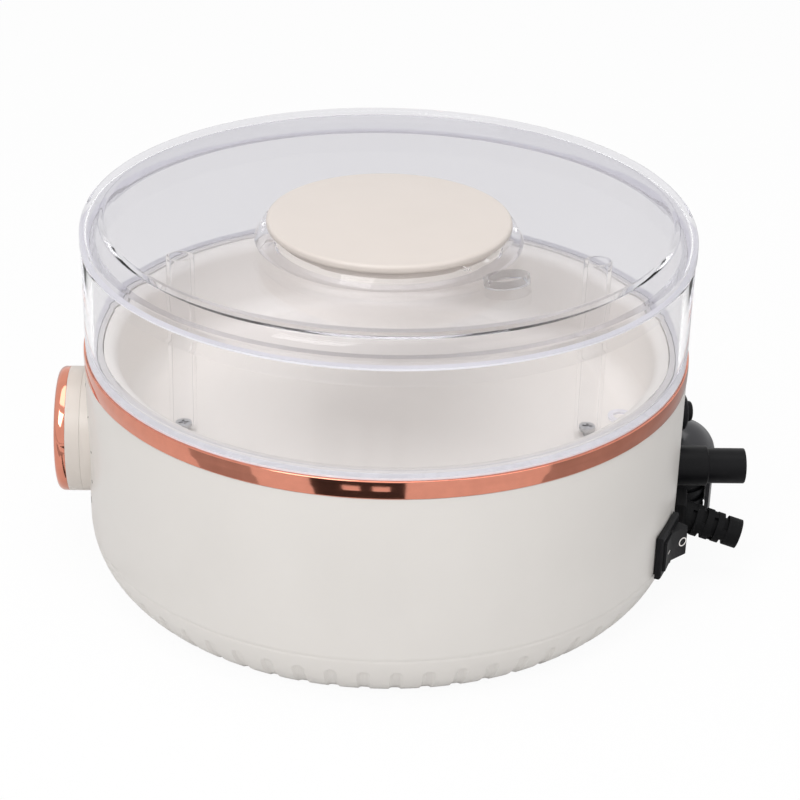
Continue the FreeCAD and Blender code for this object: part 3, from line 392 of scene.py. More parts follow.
# %% [markdown]
# A section becomes a solid when its points are copied round the axis and joined by faces. The skin is
# closed, because a clear piece refracts as it should only with its true thickness. A point on the axis
# is kept single, so that a disc has no pile of points in its middle.

# %% Spinning a section
ON_AXIS = 1e-7
RIM_SEGMENTS = 360
ROUND_SEGMENTS = 288
KNOB_SEGMENTS = 160
TUBE_SEGMENTS = 96


def turned_mesh(section, segments):
    """Vertices and faces of a section spun about Z. A point on the axis becomes a single vertex."""
    rings = []
    vertices = []
    for r, z in section:
        if r < ON_AXIS:
            rings.append([len(vertices)] * segments)
            vertices.append((0, 0, z))
            continue
        rings.append(list(range(len(vertices), len(vertices) + segments)))
        for k in range(segments):
            angle = 2 * math.pi * k / segments
            vertices.append((r * math.cos(angle), r * math.sin(angle), z))
    faces = []
    for low, high in zip(rings, rings[1:] + rings[:1]):
        for k in range(segments):
            face = [low[k], low[(k + 1) % segments], high[(k + 1) % segments], high[k]]
            face = list(dict.fromkeys(face))
            if len(face) > 2:
                faces.append(face)
    return vertices, faces


print("steps in a turn: from", TUBE_SEGMENTS, "for a tube to", RIM_SEGMENTS, "for a rim")

# %% [markdown]
# Every new mesh needs the same few things: smooth shading that stops at real edges, a finish, the body
# that it moves with, and the names of the solids that it stands for. One function sees to them all, so
# that none is forgotten.

# %% A piece on its body
SHARP_ANGLE = math.radians(32.0)


def new_piece(name, vertices, faces, slot, body, stands_for=(), place=None, finish=None):
    """Makes an object from a mesh, gives it its finish and lets it ride on a body."""
    mesh = bpy.data.meshes.new(name)
    mesh.from_pydata(vertices, [], faces)
    if place is not None:
        mesh.transform(place)
    mesh.validate()
    mesh.update()
    mesh.shade_smooth()
    mesh.set_sharp_from_angle(angle=SHARP_ANGLE)
    mesh.materials.append(FINISHES[finish or slot])
    piece = bpy.data.objects.new(name, mesh)
    bpy.context.scene.collection.objects.link(piece)
    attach(piece, body)
    if stands_for:
        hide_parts(*stands_for)
    return piece


def turned(name, corners, slot, body, stands_for=(), place=None, segments=ROUND_SEGMENTS, finish=None):
    """A turned piece from section corners."""
    vertices, faces = turned_mesh(rounded(corners), segments)
    return new_piece(name, vertices, faces, slot, body, stands_for, place, finish=finish)


print("edges stay crisp from", round(math.degrees(SHARP_ANGLE)), "degrees")

# %% [markdown]
# Sizes are read off the frame's solids where they can be, so that the new meshes follow them. Pieces on
# the round wall are built flat, and a frame of their own then stands them up: its axis points straight
# out of the wall.


# %% Places and sizes
def on_wall(angle, height):
    """Frame whose axis points out of the round wall at an angle and a height."""
    a = math.radians(angle)
    out = Vector((math.cos(a), math.sin(a), 0))
    side = Vector((-math.sin(a), math.cos(a), 0))
    turn = Matrix((side, Vector((0, 0, 1)), out)).transposed().to_4x4()
    return Matrix.Translation((0, 0, height * MM)) @ turn


def radius_of(node):
    """Outer radius of a round node about the vertical axis, in millimetres."""
    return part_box(node)[1][0] / MM


def heights_of(node):
    """Lowest and highest height of a node, in millimetres."""
    low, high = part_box(node)
    return low[2] / MM, high[2] / MM


print("places and sizes can be read")

# %% [markdown]
# The base is a straight cream drum whose lower edge rounds in to a foot, with a row of small
# round-topped flutes around it. The flutes are pressed into the turned surface by moving its points
# inwards, with a soft edge, so that they shade like moulded plastic and not like saw cuts.

# %% Flutes around the foot
FLUTES = 60
FLUTE_PHASE = math.radians(4.5)
FLUTE_WIDTH = 3.4
FLUTE_HEIGHT = 12.0
FLUTE_DEPTH = 0.9
FLUTE_EDGE = 0.4
BAND_LINE_HEIGHT = 18.5
BAND_LINE_WIDTH = 0.5
BAND_LINE_DEPTH = 0.25
shell_bottom, shell_top = heights_of("base_shell")[0], heights_of("drum_band")[1]


def smooth_step(low, high, value):
    """Goes from 0 at low to 1 at high, gently."""
    t = min(1.0, max(0.0, (value - low) / (high - low)))
    return t * t * (3 - 2 * t)


def flute_depth(angle, radius, z):
    """How deep the flutes are pressed in at a place on the shell, in millimetres."""
    pitch = 2 * math.pi / FLUTES
    across = (((angle - FLUTE_PHASE) / pitch) % 1.0 - 0.5) * pitch * radius
    half = FLUTE_WIDTH / 2
    top = shell_bottom + FLUTE_HEIGHT - half
    reach = math.hypot(across, max(0.0, z - top)) - half
    band = math.exp(-((z - BAND_LINE_HEIGHT) / BAND_LINE_WIDTH) ** 2) * BAND_LINE_DEPTH
    return FLUTE_DEPTH * (1 - smooth_step(-FLUTE_EDGE, FLUTE_EDGE, reach)) + band


print(FLUTES, "flutes,", FLUTE_DEPTH, "mm deep")

# %% [markdown]
# The drum is a thin wall, open below. Cutting the flutes with booleans would leave ragged shading at
# their soft edges, so the wall is spun with many points, most of them in the rounded part where the
# flutes are, and the points of its outside are then pressed in.

# %% Base shell
BODY_RADIUS = 110.0
SHELL_WALL = 2.6
FOOT_RADIUS = 100.0
BELLY_HEIGHT = 20.0
SHELL_EDGE = 0.3
SHELL_EDGE_MIDDLE = 0.1
POINTS_PER_FLUTE = 20


def shell_section(rows=64):
    """Section of the shell, with the rows of its rounded lower edge close together."""
    drop = BODY_RADIUS - FOOT_RADIUS
    arc = (BELLY_HEIGHT ** 2 + drop ** 2) / (2 * drop)
    sweep = math.asin(BELLY_HEIGHT / arc)
    centre = Vector((BODY_RADIUS - arc, shell_bottom + BELLY_HEIGHT))
    outer = []
    inner = []
    for row in range(rows + 1):
        angle = -sweep * (1 - row / rows)
        way = Vector((math.cos(angle), math.sin(angle)))
        outer.append(centre + way * arc)
        inner.append(centre + way * (arc - SHELL_WALL))
    inner = [point for point in inner if point.y > shell_bottom]
    rim = [Vector((BODY_RADIUS, shell_top - SHELL_EDGE)),
           Vector((BODY_RADIUS - SHELL_EDGE_MIDDLE, shell_top - SHELL_EDGE_MIDDLE)),
           Vector((BODY_RADIUS - SHELL_EDGE, shell_top)), Vector((BODY_RADIUS - SHELL_WALL, shell_top))]
    mouth = Vector((inner[0].x, shell_bottom))
    return [p * MM for p in outer + rim + inner[::-1] + [mouth]], rows + 1


def base_shell():
    """The drum, with its flutes and the line above them pressed in."""
    section, outer_rows = shell_section()
    segments = FLUTES * POINTS_PER_FLUTE
    vertices, faces = turned_mesh(section, segments)
    pressed = []
    for k, (x, y, z) in enumerate(vertices):
        if k < outer_rows * segments:
            radius = math.hypot(x, y)
            depth = flute_depth(math.atan2(y, x), radius / MM, z / MM) * MM
            x, y = x * (1 - depth / radius), y * (1 - depth / radius)
        pressed.append((x, y, z))
    return new_piece("base_shell_moulding", pressed, faces, "cream_plastic", "base",
                     ["base_shell", "drum_band"])


shell = base_shell()
print("base shell:", len(shell.data.vertices), "points")

# %% [markdown]
# The knob turns on a short round plinth that grows out of the drum. Plinth and knob have the same
# radius and nearly touch, so that they read as one pod. The plinth could be cut to the drum's curve,
# but its foot is hidden inside the drum, so a plain turned disc is enough.

# %% Plinth behind the knob
KNOB_ANGLE = -90.0
KNOB_GAP = 0.04
PLINTH_DEPTH = 5.0
PLINTH_EDGE = 0.1
BUSHING_HOLE = 4.6
knob_low, knob_high = (Vector(corner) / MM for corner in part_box("control_knob"))
knob_axis_height = (knob_low.z + knob_high.z) / 2
knob_radius = (knob_high.z - knob_low.z) / 2
knob_back = -knob_high.y
at_knob = on_wall(KNOB_ANGLE, knob_axis_height)
plinth_face = knob_back - KNOB_GAP
plinth_foot = plinth_face - PLINTH_DEPTH
turned("knob_plinth",
       [(BUSHING_HOLE, plinth_foot, 0), (knob_radius, plinth_foot, 0),
        (knob_radius, plinth_face, PLINTH_EDGE), (BUSHING_HOLE, plinth_face, PLINTH_EDGE)],
       "cream_plastic", "base", place=at_knob, segments=KNOB_SEGMENTS, finish="knob_plastic")
nodes["control_knob"].data.materials[0] = FINISHES["knob_plastic"]
print("plinth: radius", round(knob_radius, 1), "mm")

# %% [markdown]
# A plated edge runs around the knob's face. It is turned anew with a full rounding, because a mirror
# shows every facet of the frame's solid.

# %% Plated edge of the knob
TRIM_WALL = 3.2
TRIM_ROUND = 2.6
TRIM_BACK_EDGE = 0.15
TRIM_INNER_EDGE = 0.5
trim_low, trim_high = (Vector(corner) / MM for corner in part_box("knob_trim"))
trim_radius = (trim_high.z - trim_low.z) / 2
trim_bore = trim_radius - TRIM_WALL
turned("knob_trim_plating",
       [(trim_bore, -trim_high.y, 0), (trim_radius, -trim_high.y, TRIM_BACK_EDGE),
        (trim_radius, -trim_low.y, TRIM_ROUND), (trim_bore, -trim_low.y, TRIM_INNER_EDGE)],
       "rose_gold", "knob", ["knob_trim"], at_knob, KNOB_SEGMENTS)
print("plated edge: radius", round(trim_radius, 1), "mm")

# %% [markdown]
# The plated ring covers the joint between the base and the clear wall. It is slightly crowned, which
# spreads the studio's reflections over its height. A flat band would mirror one thin slice of the
# studio, and the frame's solid would show its facets.

# %% Trim ring
RING_THICKNESS = 1.4
RING_CROWN = 0.15
RING_CROWN_ROUND = 12.0
RING_EDGE = 0.4
ring_bottom, ring_top = heights_of("trim_ring")
ring_radius = radius_of("trim_ring")
ring_bore = ring_radius - RING_THICKNESS
ring_edge = ring_radius - RING_CROWN
turned("trim_ring_plating",
       [(ring_bore, ring_bottom, 0), (ring_edge, ring_bottom, RING_EDGE),
        (ring_radius, (ring_bottom + ring_top) / 2, RING_CROWN_ROUND), (ring_edge, ring_top, RING_EDGE),
        (ring_bore, ring_top, 0)],
       "rose_gold", "base", ["trim_ring"], segments=RIM_SEGMENTS)
print("trim ring:", round(ring_top - ring_bottom, 2), "mm high")

# %% [markdown]
# Inside stands a white bowl with a rolled rim, its floor well below the ring. The frame's solid could
# stay, but the roll of the rim and the round of the floor are what the light shows through the clear
# wall, so the bowl is turned anew with fine steps.

# %% Bowl
BOWL_RADIUS = 98.0
BOWL_WALL = 2.0
BOWL_FLOOR = 55.0
BOWL_RIM = 103.3
BOWL_RIM_EDGE = 0.2
BOWL_ROLL = 4.6
BOWL_FILLET = 9.0
BOWL_FOOT_ROUND = 8.0
bowl_top = heights_of("inner_bowl")[1]
bowl_outside = BOWL_RADIUS + BOWL_WALL
turned("bowl_moulding",
       [(0, BOWL_FLOOR - BOWL_WALL, 0), (bowl_outside, BOWL_FLOOR - BOWL_WALL, BOWL_FOOT_ROUND),
        (bowl_outside, bowl_top - BOWL_WALL, 0), (BOWL_RIM, bowl_top - BOWL_WALL, 0),
        (BOWL_RIM, bowl_top, BOWL_RIM_EDGE), (BOWL_RADIUS, bowl_top, BOWL_ROLL),
        (BOWL_RADIUS, BOWL_FLOOR, BOWL_FILLET), (0, BOWL_FLOOR, 0)],
       "white_plastic", "base", ["inner_bowl"])
print("bowl:", round(bowl_top - BOWL_FLOOR, 1), "mm deep")

# %% [markdown]
# Two clear posts stand in the bowl with a screw at the foot of each. They are thin tubes that show as
# little more than their edges, so they get the faintest clear finish. Both come from one section.

# %% Clear posts
POST_BORE = 3.6
POST_WEB = 2.0
POST_EDGE = 0.4
POST_FLOOR_ROUND = 0.6
SCREW_HOLE = 1.4
post_low, post_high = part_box("clear_posts")
post_foot, post_top = post_low[2] / MM, post_high[2] / MM
post_radius = (post_high[0] - post_low[0]) / MM / 2
post_x = (post_high[0] + post_low[0]) / 2
post_y = post_high[1] - post_radius * MM
for side, place_y in (("left", -post_y), ("right", post_y)):
    turned("clear_post_" + side,
           [(SCREW_HOLE, post_foot, 0), (post_radius, post_foot, 0), (post_radius, post_top, POST_EDGE),
            (POST_BORE, post_top, POST_EDGE), (POST_BORE, post_foot + POST_WEB, POST_FLOOR_ROUND),
            (SCREW_HOLE, post_foot + POST_WEB, 0)],
           "clear_plastic", "base", ["clear_posts"], Matrix.Translation((post_x, place_y, 0)),
           TUBE_SEGMENTS, "clear_faint")
print("posts:", round(post_top - post_foot, 1), "mm tall")

# %% [markdown]
# The clear wall stands on the base's neck and carries the lid. Below its foot a spigot drops into the
# gap between the neck and the bowl. The spigot is frosted, which hides the dark gap behind it, and it
# is a mesh of its own because a piece has one finish. A film of air keeps the two apart.

# %% Chamber wall
CLEAR_WALL = 2.6
CLEAR_FOOT = 1.2
CLEAR_SPIGOT = 2.0
SPIGOT_GAP = 0.3
SPIGOT_LOW_EDGE = 0.3
SPIGOT_TOP_EDGE = 0.2
WALL_FOOT_EDGE = 0.5
WALL_RIM_EDGE = 0.6
WALL_FILLET = 1.0
WALL_STEP_EDGE = 0.4
FILM_GAP = 0.05
wall_bottom, wall_top = heights_of("chamber_wall")
wall_radius = radius_of("chamber_wall")
wall_inside = wall_radius - CLEAR_WALL
wall_foot = heights_of("wall_seal")[1]
wall_step = wall_foot + CLEAR_FOOT
spigot = BOWL_RIM + SPIGOT_GAP
spigot_face = spigot + CLEAR_SPIGOT
turned("chamber_wall_moulding",
       [(spigot, wall_foot, 0), (wall_radius, wall_foot, WALL_FOOT_EDGE),
        (wall_radius, wall_top, WALL_RIM_EDGE), (wall_inside, wall_top, WALL_RIM_EDGE),
        (wall_inside, wall_step, WALL_FILLET), (spigot, wall_step, WALL_STEP_EDGE)],
       "clear_plastic", "base", ["chamber_wall"])
spigot_top = wall_foot - FILM_GAP
turned("wall_spigot",
       [(spigot, wall_bottom, SPIGOT_LOW_EDGE), (spigot_face, wall_bottom, SPIGOT_LOW_EDGE),
        (spigot_face, spigot_top, SPIGOT_TOP_EDGE), (spigot, spigot_top, SPIGOT_TOP_EDGE)],
       "clear_plastic", "base", finish="clear_frosted")
print("clear wall:", round(wall_top - wall_foot, 1), "mm tall")

# %% [markdown]
# The lid is one clear moulding: a rounded rim, a panel that slopes gently down to the collar in the
# middle, and a spigot that drops inside the wall. Its section follows the frame, with the roundings
# that the moulding has. The spigot is seen through the wall, so it is a mesh of its own with a fainter
# finish.

# %% Lid
LID_WALL = 2.5
LID_SHOULDER = 7.0
LID_STEP = 1.8
LID_STEP_DROP = 0.4
LID_STEP_FOOT = 0.3
LID_FLANGE = 2.5
LID_FLANGE_EDGE = 0.4
LID_SEAT_EDGE = 0.6
LID_DISH = 12.0
LID_LAND = 50.0
LID_LAND_BEND = 20.0
LID_SPIGOT = 2.4
LID_SPIGOT_GAP = 0.4
LID_SPIGOT_EDGE = 0.6
LID_BORE = 41.0
LID_BORE_EDGE = 0.4
LID_UNDER_INSET = 1.0
LID_UNDER_ROUND = 1.0
ARC_SLACK = 0.01
lid_low, lid_top = heights_of("clear_lid")
lid_seat = heights_of("lid_seal")[1]
lid_radius = BODY_RADIUS
lid_inside = lid_radius - LID_WALL
spigot_outer = wall_inside - LID_SPIGOT_GAP
spigot_inner = spigot_outer - LID_SPIGOT
crest = lid_radius - LID_SHOULDER
step = crest - LID_STEP
edge = lid_top - LID_STEP - LID_STEP_DROP
panel = lid_top - LID_DISH
slope = (edge - panel) / (step - LID_LAND)
under_edge = step - LID_UNDER_INSET
under_height = panel - LID_WALL + slope * (under_edge - LID_LAND)
turned("lid_moulding",
       [(spigot_inner, lid_seat, 0), (lid_radius, lid_seat, LID_SEAT_EDGE),
        (lid_radius, lid_top, LID_SHOULDER - ARC_SLACK), (step, lid_top, LID_STEP),
        (step, edge, LID_STEP_FOOT), (LID_LAND, panel, LID_LAND_BEND),
        (LID_BORE, panel, LID_BORE_EDGE), (LID_BORE, panel - LID_WALL, LID_BORE_EDGE),
        (LID_LAND, panel - LID_WALL, LID_LAND_BEND), (under_edge, under_height, LID_UNDER_ROUND),
        (crest, lid_top - LID_WALL, LID_UNDER_ROUND),
        (lid_inside, lid_top - LID_WALL, LID_SHOULDER - LID_WALL - ARC_SLACK),
        (lid_inside, lid_seat + LID_FLANGE, LID_FLANGE_EDGE),
        (spigot_inner, lid_seat + LID_FLANGE, LID_FLANGE_EDGE)],
       "clear_plastic", "lid", ["clear_lid", "lid_panel"], segments=RIM_SEGMENTS, finish="clear_lid")
lid_spigot_top = lid_seat - FILM_GAP
turned("lid_spigot",
       [(spigot_inner, lid_low, LID_SPIGOT_EDGE), (spigot_outer, lid_low, LID_SPIGOT_EDGE),
        (spigot_outer, lid_spigot_top, SPIGOT_TOP_EDGE),
        (spigot_inner, lid_spigot_top, SPIGOT_TOP_EDGE)],
       "clear_plastic", "lid", segments=RIM_SEGMENTS, finish="clear_faint")
print("lid:", round(lid_top - lid_low, 1), "mm tall, panel slope", round(slope, 3))

# %% [markdown]
# A short tube around the lid's vent stands square to the sloping panel. It is turned upright and then
# tilted with the panel. Its finish is a little smoky, because its wall is seen edge on.

# %% Vent of the lid
VENT_ANGLE = 42.0
VENT_CIRCLE = 59.0
VENT_RADIUS = 8.0
VENT_WALL = 1.6
VENT_HEIGHT = 3.0
VENT_EDGE = 0.5
vent_floor = panel + slope * (VENT_CIRCLE - LID_LAND) + FILM_GAP
at_vent = Matrix.Rotation(math.radians(VENT_ANGLE), 4, "Z")
at_vent = at_vent @ Matrix.Translation((VENT_CIRCLE * MM, 0, vent_floor * MM))
at_vent = at_vent @ Matrix.Rotation(-math.atan(slope), 4, "Y")
vent_bore = VENT_RADIUS - VENT_WALL
turned("lid_vent_boss",
       [(vent_bore, 0, 0), (VENT_RADIUS, 0, 0), (VENT_RADIUS, VENT_HEIGHT, VENT_EDGE),
        (vent_bore, VENT_HEIGHT, VENT_EDGE)],
       "clear_plastic", "lid", place=at_vent, segments=TUBE_SEGMENTS, finish="clear_smoke")
print("vent:", VENT_HEIGHT, "mm tall")

# %% [markdown]
# Under the cap is a clear collar, a cone with three shallow slots in its upper edge. Booleans would cut
# them with hard edges, so the collar's points are pressed down instead: the mesh stays closed, and its
# flange keeps a share of its thickness in the slots.

# %% Collar under the cap
COLLAR_FOOT = 48.4
COLLAR_TOP = 45.6
COLLAR_WALL = 1.8
COLLAR_LIP = 41.0
COLLAR_EDGE = 0.2
COLLAR_ROUND = 0.5
COLLAR_STEPS = 4
SLOTS = 3
SLOT_WIDTH = 9.0
SLOT_DEPTH = 1.6
SLOT_FLOOR_SHARE = 0.4
SLOT_SOFTNESS = 0.4
collar_top = heights_of("cap_collar")[1]


def cap_collar():
    """Clear cone under the cap, open below, with slots let into its upper edge."""
    foot = panel + FILM_GAP
    under = collar_top - COLLAR_WALL
    section = rounded([(COLLAR_FOOT - COLLAR_WALL, foot, 0), (COLLAR_FOOT, foot, COLLAR_EDGE),
                       (COLLAR_TOP, collar_top, COLLAR_ROUND), (COLLAR_LIP, collar_top, COLLAR_EDGE),
                       (COLLAR_LIP, under, COLLAR_EDGE),
                       (COLLAR_TOP - COLLAR_WALL, under, COLLAR_ROUND)], COLLAR_STEPS)
    vertices, faces = turned_mesh(section, RIM_SEGMENTS)
    half = SLOT_WIDTH / 2
    cut = []
    for x, y, z in vertices:
        turn = (math.degrees(math.atan2(y, x)) - VENT_ANGLE) / (360.0 / SLOTS)
        across = abs(turn - round(turn)) * 2 * math.pi / SLOTS * math.hypot(x, y)
        inside = 1 - smooth_step(half - SLOT_SOFTNESS, half + SLOT_SOFTNESS, across / MM)
        sunk = (collar_top - SLOT_DEPTH - (collar_top - z / MM) * SLOT_FLOOR_SHARE) * MM
        cut.append((x, y, z + (min(z, sunk) - z) * inside))
    new_piece("cap_collar_moulding", cut, faces, "clear_plastic", "lid", ["cap_collar"])


cap_collar()
print("collar:", SLOTS, "slots")

# %% [markdown]
# The cream cap is a thick disc whose skirt drops through the collar into the lid's mouth. Its top has a
# flat middle and falls very slightly to the edge. A plain disc would catch the light all at once, and a
# rounding of a hundred millimetres keeps the bend from showing as a crease.

# %% Centre cap
CAP_RADIUS = 44.0
CAP_EDGE = 1.3
CAP_THICKNESS = 3.2
CAP_SKIRT = 2.4
CAP_SKIRT_GAP = 0.3
CAP_SKIRT_EDGE = 0.3
CAP_FLAT = 12.0
CAP_DOME = 100.0
cap_low, cap_top = heights_of("centre_cap")
cap_seat = heights_of("cap_collar")[1]
skirt = LID_BORE - CAP_SKIRT_GAP
skirt_inside = skirt - CAP_SKIRT
turned("centre_cap_moulding",
       [(0, cap_seat, 0), (skirt_inside, cap_seat, 0), (skirt_inside, cap_low, CAP_SKIRT_EDGE),
        (skirt, cap_low, CAP_SKIRT_EDGE), (skirt, cap_seat, 0), (CAP_RADIUS, cap_seat, CAP_EDGE),
        (CAP_RADIUS, cap_seat + CAP_THICKNESS, CAP_EDGE), (CAP_FLAT, cap_top, CAP_DOME),
        (0, cap_top, 0)],
       "cap_plastic", "cap", ["centre_cap"])
print("cap:", round(cap_top - cap_low, 1), "mm tall")

# %% [markdown]
# The pieces at the rear are small black mouldings. Their edges are not knife sharp: a bevel on the
# frame's own solids gives each edge its thin line of light. Faces of the solids arrive with separate
# points, so they are welded first, and the normals are weighted so that flat faces stay flat.

# %% Soft edges on the small solids
WELD_REACH = 1e-6
BEVEL_FROM = math.radians(40.0)


def soften(name, width, segments=3):
    """Rounds the edges of one of the frame's solids by a width in millimetres."""
    node = nodes[name]
    weld = node.modifiers.new("weld", "WELD")
    weld.merge_threshold = WELD_REACH
    bevel = node.modifiers.new("soft_edges", "BEVEL")
    bevel.width = width * MM
    bevel.segments = segments
    bevel.limit_method = "ANGLE"
    bevel.angle_limit = BEVEL_FROM
    node.modifiers.new("even_normals", "WEIGHTED_NORMAL")


SOFT_EDGES = {"switch_frame": 0.3, "switch_rocker": 0.25, "reset_bezel": 0.5, "reset_button": 0.6,
              "drain_spout": 0.4, "strain_relief": 0.35, "rear_hood": 0.4, "hood_nozzle": 0.3,
              "control_knob": 0.12, "post_screws": 0.15}
for name, width in SOFT_EDGES.items():
    soften(name, width)
print("softened", len(SOFT_EDGES), "solids")

# %% [markdown]
# The cord guard bends because its ribs are joined only by short bridges, set crosswise from one groove
# to the next. The frame has the ribs; the bridges are added here as small curved blocks that lie in
# the grooves.

# %% Bridges of the cord guard
RELIEF_ANGLE = 81.0
RELIEF_HEIGHT = 23.0
RELIEF_DROOP = 15.5
RELIEF_ROOT = 114.1
RELIEF_LENGTH = 21.0
RELIEF_RIBS = 5
RELIEF_RADII = (6.2, 5.4)
BRIDGE_HALF = 26.0
BRIDGE_ROOT = 1.6
BRIDGE_CREST = 0.3
GROOVE = (0.3, 0.8)
relief_pitch = RELIEF_LENGTH / RELIEF_RIBS


def curved_block(inner, outer, low, high, middle, half, steps=6):
    """Vertices and faces of a block bent around the Z axis, in metres."""
    vertices = []
    for k in range(steps + 1):
        angle = math.radians(middle - half + 2 * half * k / steps)
        for radius, z in ((inner, low), (outer, low), (outer, high), (inner, high)):
            vertices.append((radius * MM * math.cos(angle), radius * MM * math.sin(angle), z * MM))
    faces = [(0, 1, 2, 3), tuple(4 * steps + c for c in (3, 2, 1, 0))]
    for k in range(steps):
        for c in range(4):
            d = (c + 1) % 4
            faces.append((4 * k + c, 4 * k + 4 + c, 4 * k + 4 + d, 4 * k + d))
    return vertices, faces


def joined(meshes):
    """One list of vertices and one of faces from several."""
    vertices = []
    faces = []
    for more, sides in meshes:
        faces += [tuple(v + len(vertices) for v in side) for side in sides]
        vertices += more
    return vertices, faces


bridges = []
for k in range(RELIEF_RIBS - 1):
    rib = RELIEF_RADII[0] + (RELIEF_RADII[1] - RELIEF_RADII[0]) * (k + 0.5) / RELIEF_RIBS
    low, high = (relief_pitch * (k + share) for share in GROOVE)
    inner, outer = rib - BRIDGE_ROOT, rib - BRIDGE_CREST
    for middle in (0, 180) if k % 2 else (90, 270):
        bridges.append(curved_block(inner, outer, low, high, middle, BRIDGE_HALF))
root = on_wall(RELIEF_ANGLE, RELIEF_HEIGHT) @ Matrix.Translation((0, 0, RELIEF_ROOT * MM))
at_relief = root @ Matrix.Rotation(math.radians(RELIEF_DROOP), 4, "X")
new_piece("relief_bridges", *joined(bridges), "black_rubber", "base", place=at_relief)
print("bridges:", len(bridges))

# %% [markdown]
# Printed marks are ink a tenth of a millimetre thick. To lie on a curved face, the points of a mark
# are dropped on to the piece along the direction that the mark is seen from, and the ink is a thin
# band just above those places. A picture on the surface could do it too, but would blur close by.

# %% Ink that lies on a surface
INK_LOW = 0.02
INK_HIGH = 0.10
AIM_DISTANCE = 0.2


def face_of(target):
    """Search tree of a piece's faces, where it stands."""
    world = target.matrix_world
    return BVHTree.FromPolygons([world @ v.co for v in target.data.vertices],
                                [tuple(f.vertices) for f in target.data.polygons])


def dropped(tree, place, points):
    """Places and normals where flat points (across, up) in millimetres land on a piece."""
    towards = -(place.to_3x3() @ Vector((0, 0, 1)))
    landed = []
    for across, up in points:
        spot, normal, _, _ = tree.ray_cast(place @ Vector((across * MM, up * MM, AIM_DISTANCE)), towards)
        landed.append((spot, normal if normal.dot(towards) < 0 else -normal))
    return landed


def ink_band(tree, place, left, right, closed=False):
    """Thin solid band between two rows of points on a piece."""
    vertices = []
    for a, b in zip(dropped(tree, place, left), dropped(tree, place, right)):
        for (spot, normal), lift in ((a, INK_LOW), (b, INK_LOW), (b, INK_HIGH), (a, INK_HIGH)):
            vertices.append(spot + normal * lift * MM)
    count = len(left)
    faces = []
    for k in range(count if closed else count - 1):
        n = (k + 1) % count
        for c in range(4):
            d = (c + 1) % 4
            faces.append((4 * k + c, 4 * n + c, 4 * n + d, 4 * k + d))
    if not closed:
        faces += [(0, 1, 2, 3), tuple(4 * count - 4 + c for c in (3, 2, 1, 0))]
    return vertices, faces


def ring_points(radius, across, up, count=36):
    """Points of a circle around a place."""
    turn = [2 * math.pi * k / count for k in range(count)]
    return [(across + radius * math.cos(t), up + radius * math.sin(t)) for t in turn]


print("ink is", INK_HIGH, "mm thick")

# %% [markdown]
# A rocker switch carries a ring for off and a bar for on. They are printed on the rocker and tilt with
# it, so they ride on its body.

# %% Marks on the rocker
SWITCH_ANGLE = 66.5
SWITCH_HEIGHT = 26.0
OFF_RADII = (1.75, 1.35)
OFF_PLACE = 5.0
ON_ENDS = (-5.6, -2.8)
INK_HALF = 0.2
at_switch = on_wall(SWITCH_ANGLE, SWITCH_HEIGHT)
rocker = face_of(nodes["switch_rocker"])
outside, inside = ring_points(OFF_RADII[0], OFF_PLACE, 0), ring_points(OFF_RADII[1], OFF_PLACE, 0)
off_mark = ink_band(rocker, at_switch, outside, inside, closed=True)
upper, lower = ([(across, up) for across in ON_ENDS] for up in (INK_HALF, -INK_HALF))
on_mark = ink_band(rocker, at_switch, upper, lower)
new_piece("rocker_marks", *joined([off_mark, on_mark]), "white_plastic", "rocker")
print("rocker marks: 2")

# %% [markdown]
# Plain ticks around the knob start at the top and follow its travel, clockwise. They are dropped on to
# the drum's outside, so they bend with it, and they stay still while the knob turns.

# %% Scale around the knob
TICKS = 11
TICK_CIRCLE = 26.5
TICK_LENGTH = 1.5
LONG_TICK_LENGTH = 2.4
LONG_TICK_EVERY = 5
SCALE_SWEEP = 270.0
wall_face = face_of(shell)
ticks = []
for k in range(TICKS):
    angle = math.radians(SCALE_SWEEP * k / (TICKS - 1))
    along = Vector((math.sin(angle), math.cos(angle)))
    wide = Vector((along.y, -along.x)) * INK_HALF
    length = TICK_LENGTH if k % LONG_TICK_EVERY else LONG_TICK_LENGTH
    start, end = along * TICK_CIRCLE, along * (TICK_CIRCLE + length)
    ticks.append(ink_band(wall_face, at_knob, [start - wide, end - wide], [start + wide, end + wide]))
new_piece("knob_scale", *joined(ticks), "black_plastic", "base")
print("ticks:", TICKS)

# %% [markdown]
# A white studio sweep starts with a pale floor. More light would wash out the object, so the floor
# shows itself as nearly white to the camera and through the clear walls, and still takes a little of
# the object's shadow.

# %% Floor
IS_CAMERA, IS_GLOSSY, IS_TRANSMISSION = 0, 3, 6  # more outputs of the light path node
FLOOR_SIZE = 6.0
FLOOR_TONES = (0.84, 0.88)
FLOOR_MOTTLE = 6.0
FLOOR_WHITE_SHARE = 0.94


def seen_by(graph, *kinds):
    """One for rays of any of these kinds, and nought for all others."""
    seen = graph.make("LightPath", output=kinds[0])
    for kind in kinds[1:]:
        seen = graph.maths("MAXIMUM", seen, graph.make("LightPath", output=kind))
    return seen


def flat_sheet(name, vertices, faces, material):
    """An object of flat faces with one material."""
    mesh = bpy.data.meshes.new(name)
    mesh.from_pydata(vertices, [], faces)
    mesh.materials.append(material)
    sheet = bpy.data.objects.new(name, mesh)
    bpy.context.scene.collection.objects.link(sheet)
    return sheet


def mottled(graph, scale, dark, light):
    """Matt grey paper or card with a faint mottle."""
    where = graph.make("TexCoord", output=OBJECT_PLACE)
    mottle = graph.make("TexNoise", Vector=where, Scale=scale, Detail=2.0)
    return graph.make("BsdfDiffuse", Color=two_tone(graph, mottle, (dark,) * 3, (light,) * 3))


